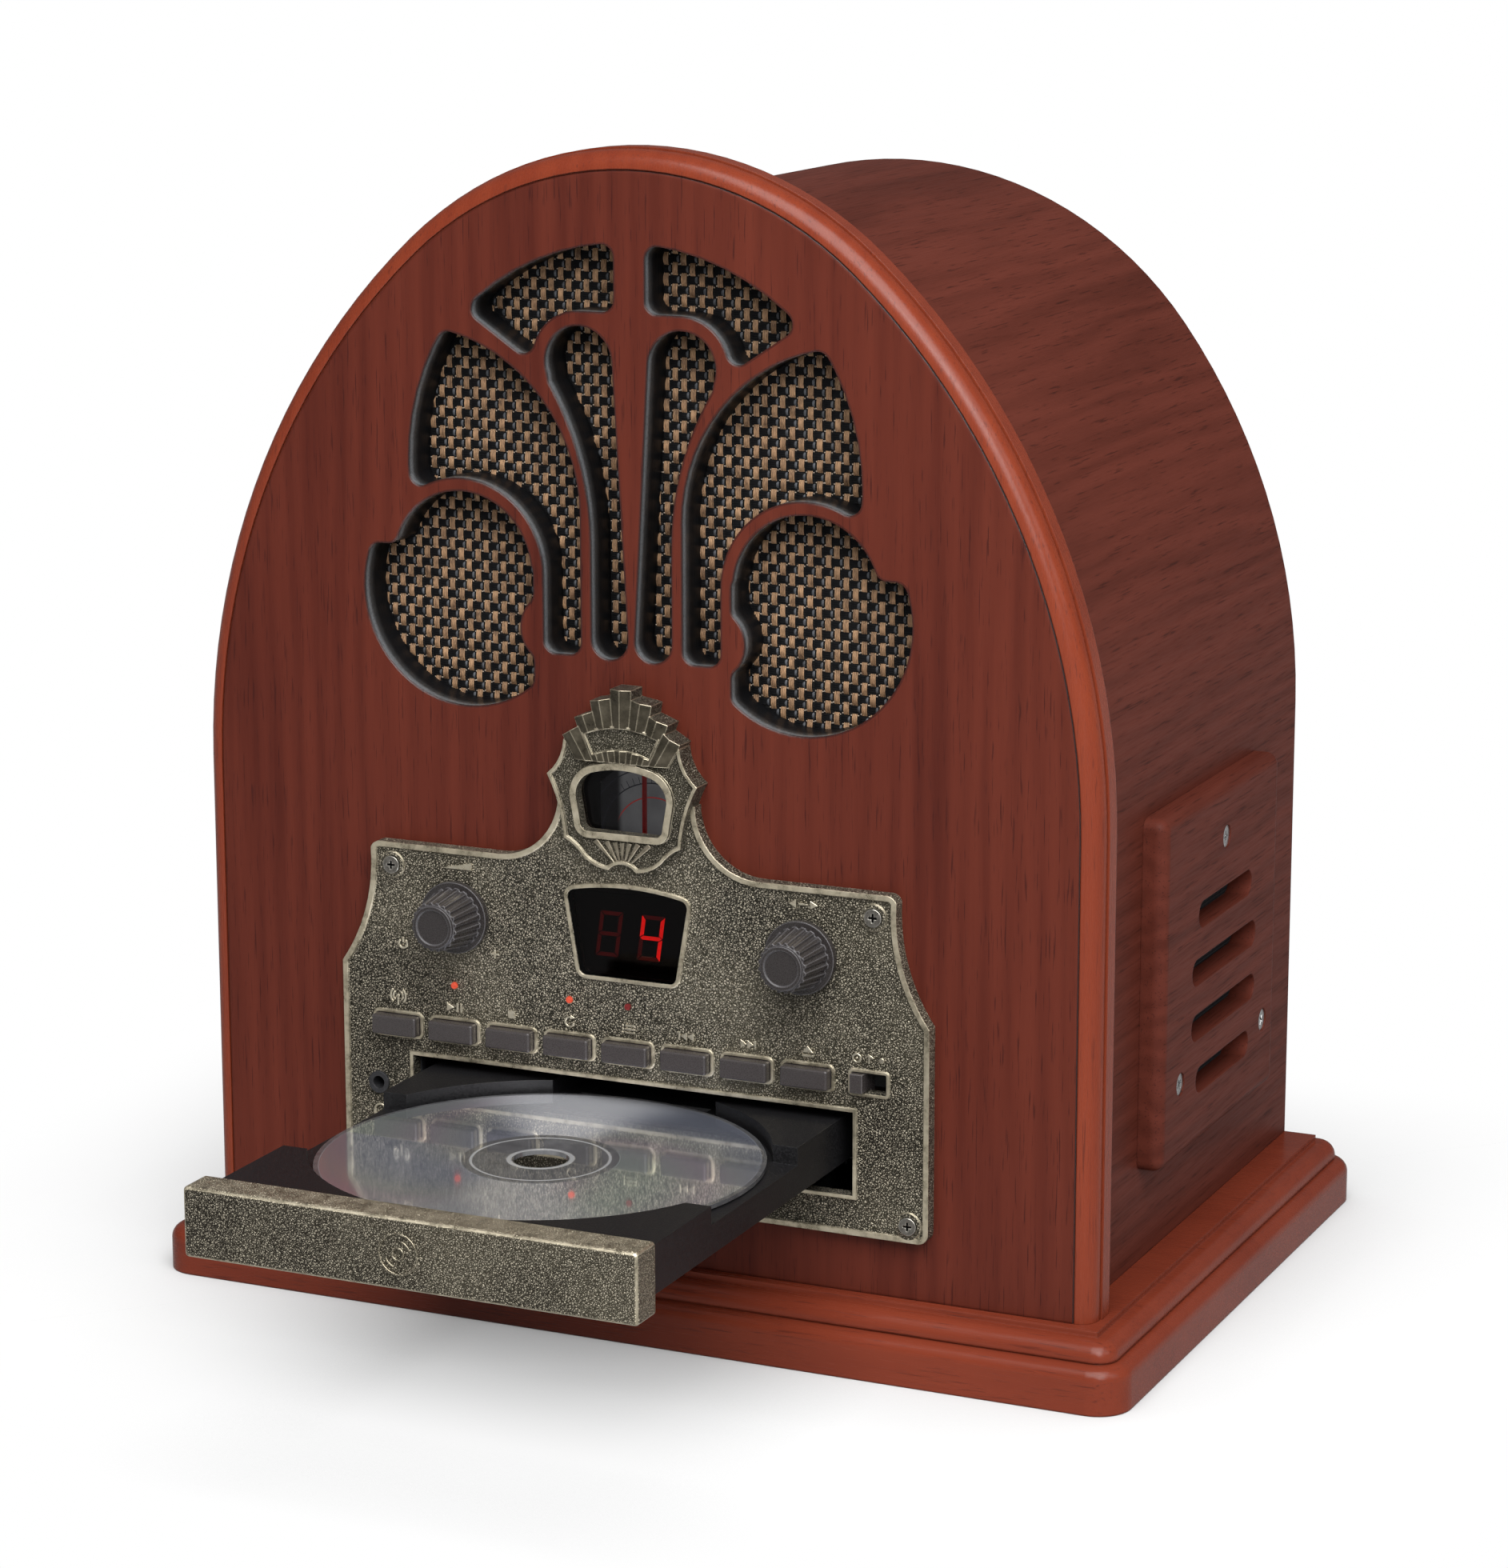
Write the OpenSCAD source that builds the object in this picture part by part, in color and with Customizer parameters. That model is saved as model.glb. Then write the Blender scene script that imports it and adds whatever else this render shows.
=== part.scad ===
// Tabletop radio and disc player in an arched wooden cabinet, tray open with a disc on it.
// Millimetres, +Z up, origin at the centre of the plinth's underside, front towards -Y.
// Most pieces are placed from the front board's face (y = 0 there) and the plinth's top (z = 0 there).

/* [Plinth] */
// Width of the plinth across its widest edge
base_w = 295; // [288:1:320]
// Depth of the plinth, front to back
base_d = 212; // [210:1:230]
// Height of the plinth
base_h = 20; // [19:0.5:30]
// Width of the moulded edge that runs round the plinth
base_edge = 9.8; // [9:0.1:12]

/* [Cabinet] */
// Width of the arched front, over its moulding
cabinet_w = 270.8; // [268:0.2:280]
// Height of the straight sides, from the plinth to the spring of the arch
arch_spring = 131.5; // [128:0.5:136]
// Rise of the arch above its spring
arch_rise = 176; // [174:0.5:190]
// Radius of the crown of the arch
arch_crown_r = 102.5; // [100:0.5:108]
// Thickness of the front board
board_t = 12; // [11:0.5:14]
// Distance of the front board behind the plinth's front edge
board_setback = 13; // [12:0.5:16]
// Width of the moulding round the front board
moulding_w = 6; // [6:0.1:7]
// Radius of the round part of that moulding
moulding_r = 5; // [4.5:0.1:5]
// How far each side of the cabinet shell sits inside the front's edge
shell_inset = 7.5; // [7:0.1:10]
// How far the top of the cabinet shell sits below the front's
shell_drop = 16.7; // [14:0.1:20]
// Height of the shell's straight sides above the front's
shell_spring_more = 2.5; // [0:0.5:6]
// How much larger the radius of the shell's crown is than the front's
shell_crown_more = 11; // [8:0.5:14]
// Thickness of the cabinet shell
wall_t = 9; // [8:0.5:10]
// Distance of the shell's rear edge from the plinth's back edge
shell_setback = 10; // [9:0.5:12]
// Thickness of the back panel
back_t = 5; // [4:0.5:6]
// How deep the back panel sits inside the shell's rear edge
back_recess = 4; // [3:0.5:6]
// Width of the ledge that the back panel is screwed to
ledge_w = 5; // [4.5:0.1:6]

/* [Front grille] */
// Height of the fan's centre above the plinth
fan_z = 210; // [206:0.5:212]
// Outer radius of the fan of cut-outs
fan_r = 72.4; // [70.5:0.1:73]
// Corner radius of the cut-outs
petal_corner = 3.5; // [2.5:0.1:4]
// Thickness of the grille cloth
cloth_t = 0.8; // [0.5:0.1:1.2]

/* [Side grilles] */
// Side length of each square side plate
side_plate = 100; // [96:0.5:104]
// Thickness of each side plate
side_plate_t = 7; // [6:0.1:9]
// Edge rounding of each side plate
side_plate_r = 3.5; // [2:0.1:4]
// Distance of the plate's centre behind the front board's face
side_plate_y = 103.4; // [101:0.2:106]
// Height of the plate's centre above the plinth
side_plate_z = 76.5; // [74:0.5:78]
// Height of one louvre slot
louvre_h = 7.6; // [6:0.1:9]
// Spacing of the louvre slots
louvre_pitch = 16; // [14:0.1:17]
// Length of the two middle slots
louvre_long = 55.7; // [50:0.1:58]
// Length of the top and bottom slots
louvre_short = 46.6; // [42:0.1:50]
// Radius of the circle of speaker screws
speaker_bolt_r = 42; // [41:0.1:43]
// Radius of the speaker opening in the cabinet wall
speaker_hole_r = 34; // [32:0.5:35]

/* [Faceplate] */
// Width of the faceplate
plate_w = 178.6; // [176:0.2:184]
// Height of its lower edge above the plinth
plate_z = 17.5; // [16:0.5:18.5]
// Height of its shoulders above the plinth
plate_top = 113.1; // [112:0.1:115]
// Thickness of the faceplate
plate_t = 4.25; // [4:0.05:5]
// Width of its raised rim
rim_w = 1.5; // [1:0.1:2]
// Height of the rim above the grained field
rim_h = 0.5; // [0.3:0.1:0.8]
// Half-width at the shoulders
shoulder_x = 79.5; // [79:0.1:81]
// Radius of the hollow sides below the shoulders
shoulder_r = 52.3; // [48:0.1:60]
// Half-width of the neck under the crest
neck_x = 20.6; // [20:0.1:21]
// Radius of the hollows beside the neck
neck_r = 18.9; // [17:0.1:20]
// Half-spacing of the two knobs
knob_x = 52.5; // [51:0.1:54]
// Height of the knobs above the plinth
knob_z = 94; // [93:0.1:95]
// Radius of a knob's skirt
knob_r = 10.15; // [9:0.05:11]
// Length of a knob in front of the plate
knob_len = 14; // [12:0.1:16]
// Spacing of the row of buttons and the switch
row_pitch = 17.97; // [17.5:0.01:18.2]
// Height of the button row above the plinth
row_z = 60.7; // [60:0.1:61.5]
// Width of a button cap
cap_w = 13.8; // [12:0.1:14]
// Height of a button cap
cap_h = 5.6; // [5:0.1:6]
// How far a button stands out
cap_out = 3; // [2:0.1:4]
// How far a button can be pressed
press = 0.8; // [0.5:0.1:0.9]
// Travel of the function switch
switch_travel = 6; // [4:0.1:6]
// Width of the disc slot
slot_w = 134.6; // [133:0.1:136]
// Height of the disc slot's lower edge above the plinth
slot_z = 28.6; // [28:0.1:30]
// Height of the disc slot
slot_h = 23.5; // [22.5:0.1:24]
// Bore of the headphone socket
jack_bore = 3.6; // [3.5:0.1:4]

/* [Dial] */
// Height of the dial's centre above the plinth
dial_z = 117; // [116:0.2:118]
// Radius of the turning dial
dial_r = 22; // [20:0.5:23]
// Radius of the cord drum behind the dial
drum_r = 16; // [14:0.5:17]
// Radius of the cord pulley on the tuning spindle
pulley_r = 4; // [3.5:0.1:5]

/* [Disc tray] */
// Radius of the disc
disc_r = 60; // [59:0.5:60]
// Radius of the disc's centre hole
disc_hole_r = 7.5; // [7.4:0.05:8]
// Thickness of the disc
disc_t = 1.2; // [1:0.1:1.4]
// Travel of the tray from open to shut
tray_travel = 126.9; // [120:0.1:128]
// Width of the tray's brass front
tray_front_w = 129.3; // [127:0.1:131]
// Height of the tray's brass front
tray_front_h = 19; // [17:0.1:20]
// Thickness of the tray's brass front
tray_front_t = 10; // [8:0.1:11]
// Width of the black tray
tray_w = 125; // [124:0.1:126]
// Length of the black tray
tray_len = 164; // [160:0.5:165]
// Distance of the disc's centre behind the tray's front face
disc_back = 74.2; // [74:0.1:76]

/* [Loader] */
// Angle that the traverse lifts through
lift_angle = 5; // [4.6:0.1:5.2]
// Number of teeth on the tray drive gear
gear_teeth = 24; // [24:2:26]
// Module of the drive gear and rack
gear_module = 1; // [0.95:0.01:1.05]
// Travel of the laser pickup
pickup_travel = 34; // [30:0.5:35]

/* [Hidden] */
$fn = 64;

// Clearances: fixed seat, moving neighbour, running shaft
fit = 0.1;
run = 0.3;
shaft_gap = 0.05;
// Small amount that cuts reach past a face
over = 1;

// Frame of the front board's face
face_y = board_setback - base_d / 2;

// Arches as half width, spring, rise and radius of the crown
arch_half = cabinet_w / 2;
front_arch = [arch_half, arch_spring, arch_rise, arch_crown_r];
shell_half = arch_half - shell_inset;
shell_spring = arch_spring + shell_spring_more;
shell_rise = arch_spring + arch_rise - shell_drop - shell_spring;
shell_crown_r = arch_crown_r + shell_crown_more;
shell_arch = [shell_half, shell_spring, shell_rise, shell_crown_r];
wall_inner = shell_half - wall_t;

// Cabinet depths, from the front board's face
shell_back = base_d - board_setback - shell_setback;
panel_back = shell_back - back_recess;
panel_front = panel_back - back_t;

// Plinth edge
base_upper_r = 4.6;
base_lower_r = 3.8;
base_lip = 1.6;
base_quirk = 0.5;
base_upper_u = base_edge - base_lower_r;
base_round_u = base_upper_u - base_upper_r;

// Moulding section
quirk_w = 0.5;
quirk_d = 0.8;
bead_gap = 0.8;
// Hairline joint between lengths, in degrees
moulding_joint = 0.01;

// Height of the grille cloth's lower edge below the fan's centre
cloth_drop = 62;

// Petals of the fan, as centre and radius from the fan's centre
drop_top = [15.3, 39.8, 10];
drop_foot = [6.55, -35, 5.45];
drop_flank = [94, -9, 82];
leaf_inner = [64.75, -2, 49.5];
leaf_outer = [0, 10, 67.5];
leaf_foot = [20.9, -34.4, 5.6];
lobe = [51.5, -18.5, 21.3];
lobe_skirt = [50.5, -25.3, 31.5];
lobe_bite = [24, -33.5, 9.8];
lobe_skirt_x = 29.7;
lobe_skirt_top = -13.2;
lobe_bar = 3.7;
crown_bite = 14;
crown_bar = 4.5;
crown_foot = [31.5, 40.6];
crown_slope = 33.6;
centre_bar = 4.7;

// Side plate slots and speaker, from the front board's face and the plinth
side_face = shell_half + side_plate_t;
speaker_y = side_plate_y + 2;
speaker_z = side_plate_z - 7.2;
speaker_rim_r = speaker_bolt_r + 4;
speaker_rim_t = 2.5;
speaker_depth = 30;
magnet_r = 22;
magnet_t = 12;
bolt_r = 1.6;
bolt_head_r = 3.2;
bolt_head_h = 2;
bolt_sink = 2.4;

// Back panel, its screws and its openings
back_screw_r = 1.3;
back_screw_bite = 12;
back_screw_head_r = ledge_w / 2 - run;
back_screw_head_h = 1.8;
back_screw_inset = wall_t - ledge_w / 2;
back_screw_heights = [18, 62, 106];
back_screw_angles = [50, 90, 130];
inlet_pos = [-88, 26];
inlet_w = 22;
inlet_h = 14;
inlet_depth = 16;
inlet_flange = 3;
inlet_wall = 2;
inlet_socket = [16, 9];
inlet_pin_x = 4;
inlet_pin_r = 1.2;
vent_len = 110;
vent_h = 6;
vent_pitch = 14;
vent_count = 6;
vent_z = 170;

// Depth of the cross recess in a screw head
cross_deep = 0.8;

// Faceplate levels
field_y = -(plate_t - rim_h);
neck_cx = neck_x + neck_r;
neck_top = plate_top + neck_r;
column_x = 18;
column_top = 143;
shoulder_z = plate_top - 5.1;
shoulder_cx = shoulder_x + shoulder_r;
shoulder_drop = plate_top - shoulder_z;
shoulder_corner_x = shoulder_cx - sqrt(shoulder_r * shoulder_r - shoulder_drop * shoulder_drop);
plate_corner_r = 3;
plate_screws = [[73, plate_top - 6.4], [plate_w / 2 - 5.8, plate_z + 4.7]];
plate_boss_r = 3.75;
plate_screw_r = 1.6;
plate_screw_head_r = 2.5;
plate_screw_len = 10;
jack_pos = [-78.3, 42.9];
jack_barrel_r = 2.7;
jack_ring_r = 3.2;
jack_lip = 0.4;
jack_body = 10;
jack_depth = 14;
jack_end = 2;
led_z = row_z + 13.05;
led_columns = [1, 3, 4];
led_r = 0.9;
led_body_r = 1.45;
rim_gap = 0.2;
button_rim = 0.8;
button_corner = 1;
slide_corner = 0.5;
lever_w = 3.6;
slide_w = lever_w + switch_travel + 2 * run + fit;
slide_h = 5.8;
slot_rim = 1;

// Display window
display_z = 81.5;
display_h = 23.5;
display_crown = 2.1;
display_crown_r = 81;
display_top_x = 18.5;
display_low_x = 14.5;
display_rim = 1;
display_corner = 2.2;
lens_t = 2;

// Opening in the front board for the works
works_x = slot_w / 2 + 0.7;
works_z = slot_z - 4.6;
works_top = plate_top - 4.1;
row_x = 4 * row_pitch + 9.6;
row_low = row_z - 8.7;
row_high = led_z + 4.25;
column_cut_x = 17;
column_cut_top = 143;

// Control board and what stands on it
pcb_y = 7;
pcb_t = 1.6;
pcb_gap = 1.5;
pcb_low = slot_z + slot_h + 1.4;
pcb_boss_r = 2.5;
flange_t = 1;
flange_lip = 0.8;
tact_w = 6;
tact_front = flange_t + rim_gap + press + run;
tact_body_t = 3.5;
tact_plunger_r = 1.7;
spindle_r = 3;
pot_r = 8.5;
pot_depth = 9;

// Crest levels in front of the board's face
crest_field_y = -6.4;
crest_rim_y = -7;
crest_frame_y = -7.4;
crest_rim_w = 0.9;
crest_ray_z = 125;
crest_ray_step = 10.1;
crest_ray_tips = [38, 35.4, 32.4, 29.8];
crest_ray_w = 6.2;
crest_panel_in = 21.3;
crest_panel_out = 27.3;
crest_panel_half = 23.5;
crest_line = 0.6;
window_z = 123.1;
window_top = 140.8;
window_low_x = 12.4;
window_top_x = 13.7;
window_low_r = 2.2;
window_top_r = 7;
window_frame = 1.9;
lens_lap = 1.2;

// Dial works behind the board
dial_y = board_t + 1.3;
dial_t = 1.5;
drum_t = 3.2;
drum_y = dial_y + dial_t;
cord_d = 1;
cord_y = drum_y + (drum_t - cord_d) / 2;
bracket_y = drum_y + drum_t + 2;
bracket_t = 1.5;
bracket_post = [25.5, 9];
bracket_post_r = 2.5;
dial_shaft_r = 2;
gang_y = bracket_y + bracket_t;
gang_depth = 14;
gang_w = 24;
tunnel_t = 1.2;
pointer_w = 1.1;
pointer_t = 0.8;
pointer_y = 7;

// Tray, open: its front face and the disc's centre
tray_front_y = -plate_t - tray_travel;
tray_y = tray_front_y + tray_front_t;
tray_back = tray_y + tray_len;
disc_y = tray_front_y + disc_back;
play_y = disc_y + tray_travel;
tray_half = tray_w / 2;
tray_front_z = slot_z + slot_h - 0.8 - tray_front_h;
skirt_t = 2.5;
skirt_z = slot_z + 7.4;
tray_floor_z = slot_z + 13.4;
tray_floor_t = 2;
tray_deck_z = tray_floor_z + 7;
tray_floor_top = tray_floor_z + tray_floor_t;
disc_rest = 0.4;
disc_z = tray_floor_top + disc_rest;
well_r = disc_r + 1.5;
finger_half = 27;
rear_gap = 25;
spin_slot_x = 20;
spin_slot_back = 64;

// Rack and drive gear
pitch_r = gear_module * gear_teeth / 2;
tooth_pitch = PI * gear_module;
tooth_tip = 0.6 * gear_module;
tooth_root = 1.5 * gear_module;
tooth_up = 0.9 * gear_module;
tooth_down = 1.2 * gear_module;
rack_x = -52;
rack_back = 3;
rack_z = tray_floor_z - 4.5;
gear_x = rack_x + pitch_r;
gear_y = board_t + 15.3;
gear_z = rack_z + run;
gear_t = 3.7;
gear_pin_r = 2;
belt_pulley_r = 10;
belt_pulley_t = 3.5;
belt_t = 1.2;
belt_z = gear_z - belt_pulley_t - run;
motor_pulley_r = 3;
motor_x = gear_x + 42;
motor_y = gear_y;
motor_r = 10.5;
motor_h = 22;
motor_shaft_r = 1;
rack_teeth = floor((tray_len - 20) / tooth_pitch);
rack_start = gear_y - tooth_pitch * (rack_teeth - 4);

// Chassis of the loader
chassis_front = board_t + 1;
chassis_back = tray_back + tray_travel + 6;
chassis_in = tray_half + 0.4;
chassis_t = 2.5;
chassis_out = chassis_in + chassis_t;
chassis_floor = 2;
chassis_top = tray_deck_z + 2.5;
rail_w = 4;
foot_w = 9.6;
foot_len = 16;
foot_t = 3;
foot_from_end = 7;
loader_screw_r = 1.6;
loader_screw_head_r = 3;

// Traverse, level as it stands when lifted
pickup_front = play_y + 20;
pickup_len = 14;
hinge_room = 12;
hinge_y = pickup_front + pickup_len + pickup_travel + hinge_room;
hinge_z = tray_floor_z - 11;
deck_t = 2.5;
deck_z = hinge_z - 2;
deck_half = 44;
deck_front = play_y - 24;
deck_back = hinge_y + 4;
trunnion_r = 2;
trunnion_len = 5;
post_in = deck_half + 2.5;
post_t = 3.5;
rod_x = 24;
rod_r = 1.5;
rod_z = deck_z + 6;
rod_front = play_y + 13;
rod_back = hinge_y;
rod_post = 3;
pickup_half = 28;
pickup_low = 2.5;
pickup_high = 3.5;
lens_y = play_y + 24;
lens_z = rod_z + 6.5;
turntable_r = 15;
turntable_top = disc_z - run;
hub_r = disc_hole_r - run;
spindle_shaft_r = 1;
spindle_motor_r = 13;
spindle_motor_h = 11;
puck_hole_r = 12.5;
puck_r = 15;
puck_gap = 1.6;
puck_rim_t = 2.2;
bridge_t = 1.5;
bridge_half = 16;

// Boards in the bays beside the loader
bay_in = chassis_out + foot_w + 4;
bay_out = wall_inner - 6;
main_front = 40;
main_back = panel_front - 30;
main_lift = 6;
main_post_r = 3;
main_post_in = 4;
can_r = 4;
can_h = 11;
can_pitch = 18;
transformer_w = 34;
transformer_d = 30;
transformer_h = 27;
transformer_core = 12;
transformer_coil = 6;
transformer_tab = 4;
transformer_y = panel_front - transformer_d - 16;

// Placing and shaping helpers

// From the front board's face and the plinth's top
module fitted() {
    translate([0, face_y, base_h]) children();
}

// A drawing in X and Z made solid between two depths
module slab(y0, y1) {
    translate([0, y1, 0]) rotate([90, 0, 0]) linear_extrude(y1 - y0) children();
}

// A drawing in Y and Z made solid between two widths
module side_slab(x0, x1) {
    translate([x0, 0, 0]) rotate([90, 0, 90]) linear_extrude(x1 - x0) children();
}

// Round bar along Y
module bar_y(r, y0, y1) {
    translate([0, y0, 0]) rotate([-90, 0, 0]) cylinder(r = r, h = y1 - y0);
}

// Round bar along X
module bar_x(r, x0, x1) {
    translate([x0, 0, 0]) rotate([0, 90, 0]) cylinder(r = r, h = x1 - x0);
}

// Box from its lowest to its highest corner
module box(low, high) {
    translate(low) cube(high - low);
}

// The same piece on the left and on the right
module both_sides() {
    children();
    mirror([1, 0, 0]) children();
}

module round_rect(w, h, r) {
    square([w - 2 * r, h], center = true);
    square([w, h - 2 * r], center = true);
    for (x = [-1, 1], y = [-1, 1]) {
        translate([x * (w / 2 - r), y * (h / 2 - r)]) circle(r);
    }
}

// Plate lying in X and Y with a rounded top edge and rounded corners
module pillow(w, h, t, r) {
    linear_extrude(t - r) round_rect(w, h, r);
    translate([0, 0, t / 2]) cube([w - 2 * r, h - 2 * r, t], center = true);
    for (x = [-1, 1]) {
        translate([x * (w / 2 - r), 0, t - r]) {
            rotate([90, 0, 0]) cylinder(r = r, h = h - 2 * r, center = true);
        }
    }
    for (y = [-1, 1]) {
        translate([0, y * (h / 2 - r), t - r]) {
            rotate([0, 90, 0]) cylinder(r = r, h = w - 2 * r, center = true);
        }
    }
    for (x = [-1, 1], y = [-1, 1]) {
        translate([x * (w / 2 - r), y * (h / 2 - r), t - r]) sphere(r);
    }
}

// Slot with round ends
module stadium(len, h) {
    square([len - h, h], center = true);
    for (x = [-1, 1]) translate([x * (len - h) / 2, 0]) circle(h / 2);
}

function arc_points(c, r, a0, a1, n) =
    [for (i = [0 : n]) c + r * [cos(a0 + (a1 - a0) * i / n), sin(a0 + (a1 - a0) * i / n)]];

// Points from a to b, bowed to the left by a rise; the last point is left out
function bow(a, b, rise, n) =
    [for (i = [0 : n - 1]) let (t = i / n, d = (b - a) / norm(b - a))
        a + (b - a) * t + [-d.y, d.x] * 4 * rise * t * (1 - t)];

function mirrored(points) = [for (i = [len(points) - 1 : -1 : 0]) [-points[i].x, points[i].y]];

// Closed belt outline round two pulleys in one plane
module belt_outline(a, ra, b, rb) {
    d = b - a;
    aim = atan2(d.y, d.x);
    lean = asin((ra - rb) / norm(d));
    polygon(concat(
        arc_points(a, ra, aim + 90 - lean, aim + 270 + lean, 24),
        arc_points(b, rb, aim - 90 + lean, aim + 90 - lean, 12)
    ));
}

// Radius of an arch's side arcs, its crown's centre and where its arcs meet
function arch_side(a) = (pow(a[0], 2) + pow(a[2] - a[3], 2) - pow(a[3], 2)) / (2 * (a[0] - a[3]));
function arch_crown(a) = a[1] + a[2] - a[3];
function arch_turn(a) = atan2(a[2] - a[3], arch_side(a) - a[0]);

// Arch of three arcs, set in from its edge: crown in the middle, one long arc on each side
module arch(a, inset) {
    half = a[0] - inset;
    side_x = a[0] - arch_side(a);
    side_r = arch_side(a) - inset;
    crown_r = a[3] - inset;
    join = arch_crown(a) + crown_r * sin(arch_turn(a));
    translate([-half, 0]) square([2 * half, a[1]]);
    intersection() {
        translate([-half, a[1]]) square([2 * half, join - a[1]]);
        translate([side_x, a[1]]) circle(side_r, $fn = 180);
        translate([-side_x, a[1]]) circle(side_r, $fn = 180);
    }
    intersection() {
        translate([-half, join]) square([2 * half, half]);
        translate([0, arch_crown(a)]) circle(crown_r, $fn = 180);
    }
}

// Plinth

module plinth_edge() {
    square([base_edge, base_h - base_lip - base_upper_r - base_lower_r - 2 * base_quirk]);
    translate([0, base_h - base_lip - base_upper_r - base_lower_r - 2 * base_quirk]) {
        square([base_upper_u, base_lower_r]);
        intersection() {
            translate([base_upper_u, 0]) circle(base_lower_r);
            translate([base_upper_u, 0]) square(base_lower_r);
        }
        square([base_upper_u - base_quirk, base_lower_r + base_quirk]);
    }
    translate([0, base_h - base_lip - base_upper_r - base_quirk]) {
        square([base_upper_u, base_quirk]);
    }
    translate([0, base_h - base_lip - base_upper_r]) {
        square([base_round_u, base_upper_r]);
        intersection() {
            translate([base_round_u, 0]) circle(base_upper_r);
            translate([base_round_u, 0]) square(base_upper_r);
        }
    }
}

module base_plinth() {
    flat_w = base_w - 2 * base_edge;
    flat_d = base_d - 2 * base_edge;
    color("sienna") {
        translate([-flat_w / 2, -flat_d / 2, 0]) cube([flat_w, flat_d, base_h]);
        for (s = [0, 180]) {
            rotate([0, 0, s]) {
                translate([-flat_w / 2, -flat_d / 2, 0]) {
                    rotate([90, 0, -90]) mirror([0, 0, 1]) linear_extrude(flat_w) plinth_edge();
                }
                translate([flat_w / 2, -flat_d / 2, 0]) {
                    rotate([90, 0, 0]) mirror([0, 0, 1]) linear_extrude(flat_d) plinth_edge();
                }
            }
        }
        for (x = [0, 1], y = [0, 1]) {
            mirror([x, 0, 0]) mirror([0, y, 0]) translate([flat_w / 2, flat_d / 2, 0]) {
                rotate_extrude(angle = 90) plinth_edge();
            }
        }
    }
}

// Cabinet

module cabinet_shell() {
    color("saddlebrown") fitted() difference() {
        slab(board_t, shell_back) difference() {
            arch(shell_arch, 0);
            arch(shell_arch, wall_t);
        }
        slab(panel_front, shell_back + over) arch(shell_arch, wall_t - ledge_w);
        both_sides() {
            translate([0, speaker_y, speaker_z]) {
                bar_x(speaker_hole_r, wall_inner - over, shell_half + over);
                speaker_bolts() bar_x(bolt_r, wall_inner - over, shell_half + over);
            }
        }
        back_screw_places() bar_y(back_screw_r + fit, panel_front - back_screw_bite, panel_front + over);
    }
}

module front_panel() {
    color("brown") fitted() difference() {
        slab(0, board_t) arch(front_arch, moulding_w);
        slab(-over, board_t + over) {
            translate([0, fan_z]) both_sides() petals();
            works_opening();
        }
        translate([jack_pos.x, 0, jack_pos.y]) bar_y(jack_barrel_r + fit, -over, board_t + over);
        both_sides() for (p = plate_screws) {
            translate([p.x, 0, p.y]) bar_y(plate_screw_r, -over, plate_screw_len);
        }
    }
}

// Opening for the disc slot, the control board and the dial
module works_opening() {
    translate([-works_x, works_z]) square([2 * works_x, works_top - works_z]);
    translate([-row_x, row_low]) square([2 * row_x, row_high - row_low]);
    translate([-column_cut_x, works_top]) square([2 * column_cut_x, column_cut_top - works_top]);
}

module spot(c, extra = 0) {
    translate([c.x, c.y]) circle(c[2] + extra);
}

// Right half of the fan of cut-outs
module petals() {
    offset(r = petal_corner) offset(delta = -petal_corner) {
        crown_petal();
        leaf_petal();
        lobe_petal();
    }
    drop_petal();
}

module crown_petal() {
    difference() {
        circle(fan_r);
        translate([-fan_r, -fan_r]) square([fan_r + centre_bar, 2 * fan_r]);
        translate([drop_top.x, drop_top.y]) circle(crown_bite);
        translate(crown_foot) rotate(crown_slope) translate([-fan_r, -2 * fan_r]) {
            square([3 * fan_r, 2 * fan_r]);
        }
        translate([0, -fan_r]) square([drop_top.x, fan_r + drop_top.y + crown_bite]);
    }
}

module drop_petal() {
    spot(drop_top);
    spot(drop_foot);
    difference() {
        polygon([
            [drop_foot.x - drop_foot[2], drop_foot.y],
            [drop_foot.x + drop_foot[2], drop_foot.y],
            [drop_top.x + drop_top[2], drop_top.y],
            [drop_top.x - drop_top[2], drop_top.y]
        ]);
        spot(drop_flank);
        translate([drop_foot.x + drop_foot[2], drop_foot.y]) {
            square([drop_top[2], drop_flank.y - drop_foot.y]);
        }
    }
}

module leaf_petal() {
    difference() {
        intersection() {
            spot(leaf_outer);
            spot(leaf_inner);
            translate(crown_foot) rotate(crown_slope) translate([-fan_r, -2 * fan_r - crown_bar]) {
                square([3 * fan_r, 2 * fan_r]);
            }
        }
        spot(lobe, lobe_bar);
        translate([-fan_r, -2 * fan_r]) square([3 * fan_r, 2 * fan_r + lobe.y]);
    }
    translate([leaf_foot.x - leaf_foot[2], leaf_foot.y - leaf_foot[2]]) {
        square([2 * leaf_foot[2], leaf_inner.y - leaf_foot.y + leaf_foot[2]]);
    }
}

module lobe_petal() {
    offset(r = -petal_corner) offset(delta = petal_corner) difference() {
        union() {
            spot(lobe);
            intersection() {
                spot(lobe_skirt);
                union() {
                    translate([lobe_skirt_x, -2 * fan_r]) square([fan_r, 2 * fan_r + lobe.y]);
                    translate([lobe.x, -2 * fan_r]) square([fan_r, 2 * fan_r + lobe_skirt_top]);
                }
            }
        }
        spot(lobe_bite);
    }
}

// Section of the moulding: quirk at the board, round, groove and back band
module moulding_section() {
    round_u = quirk_w + moulding_r;
    difference() {
        square([moulding_w, board_t]);
        translate([-over, -over]) square([over + quirk_w, over + quirk_d]);
        translate([round_u, -over]) square([over + moulding_w, over + moulding_r + 2 * bead_gap]);
        translate([round_u - bead_gap, moulding_r + bead_gap]) square([2 * bead_gap, bead_gap]);
        difference() {
            translate([quirk_w, -over]) square([moulding_r + over, moulding_r + over]);
            translate([quirk_w, moulding_r]) circle(moulding_r);
        }
    }
}

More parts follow.
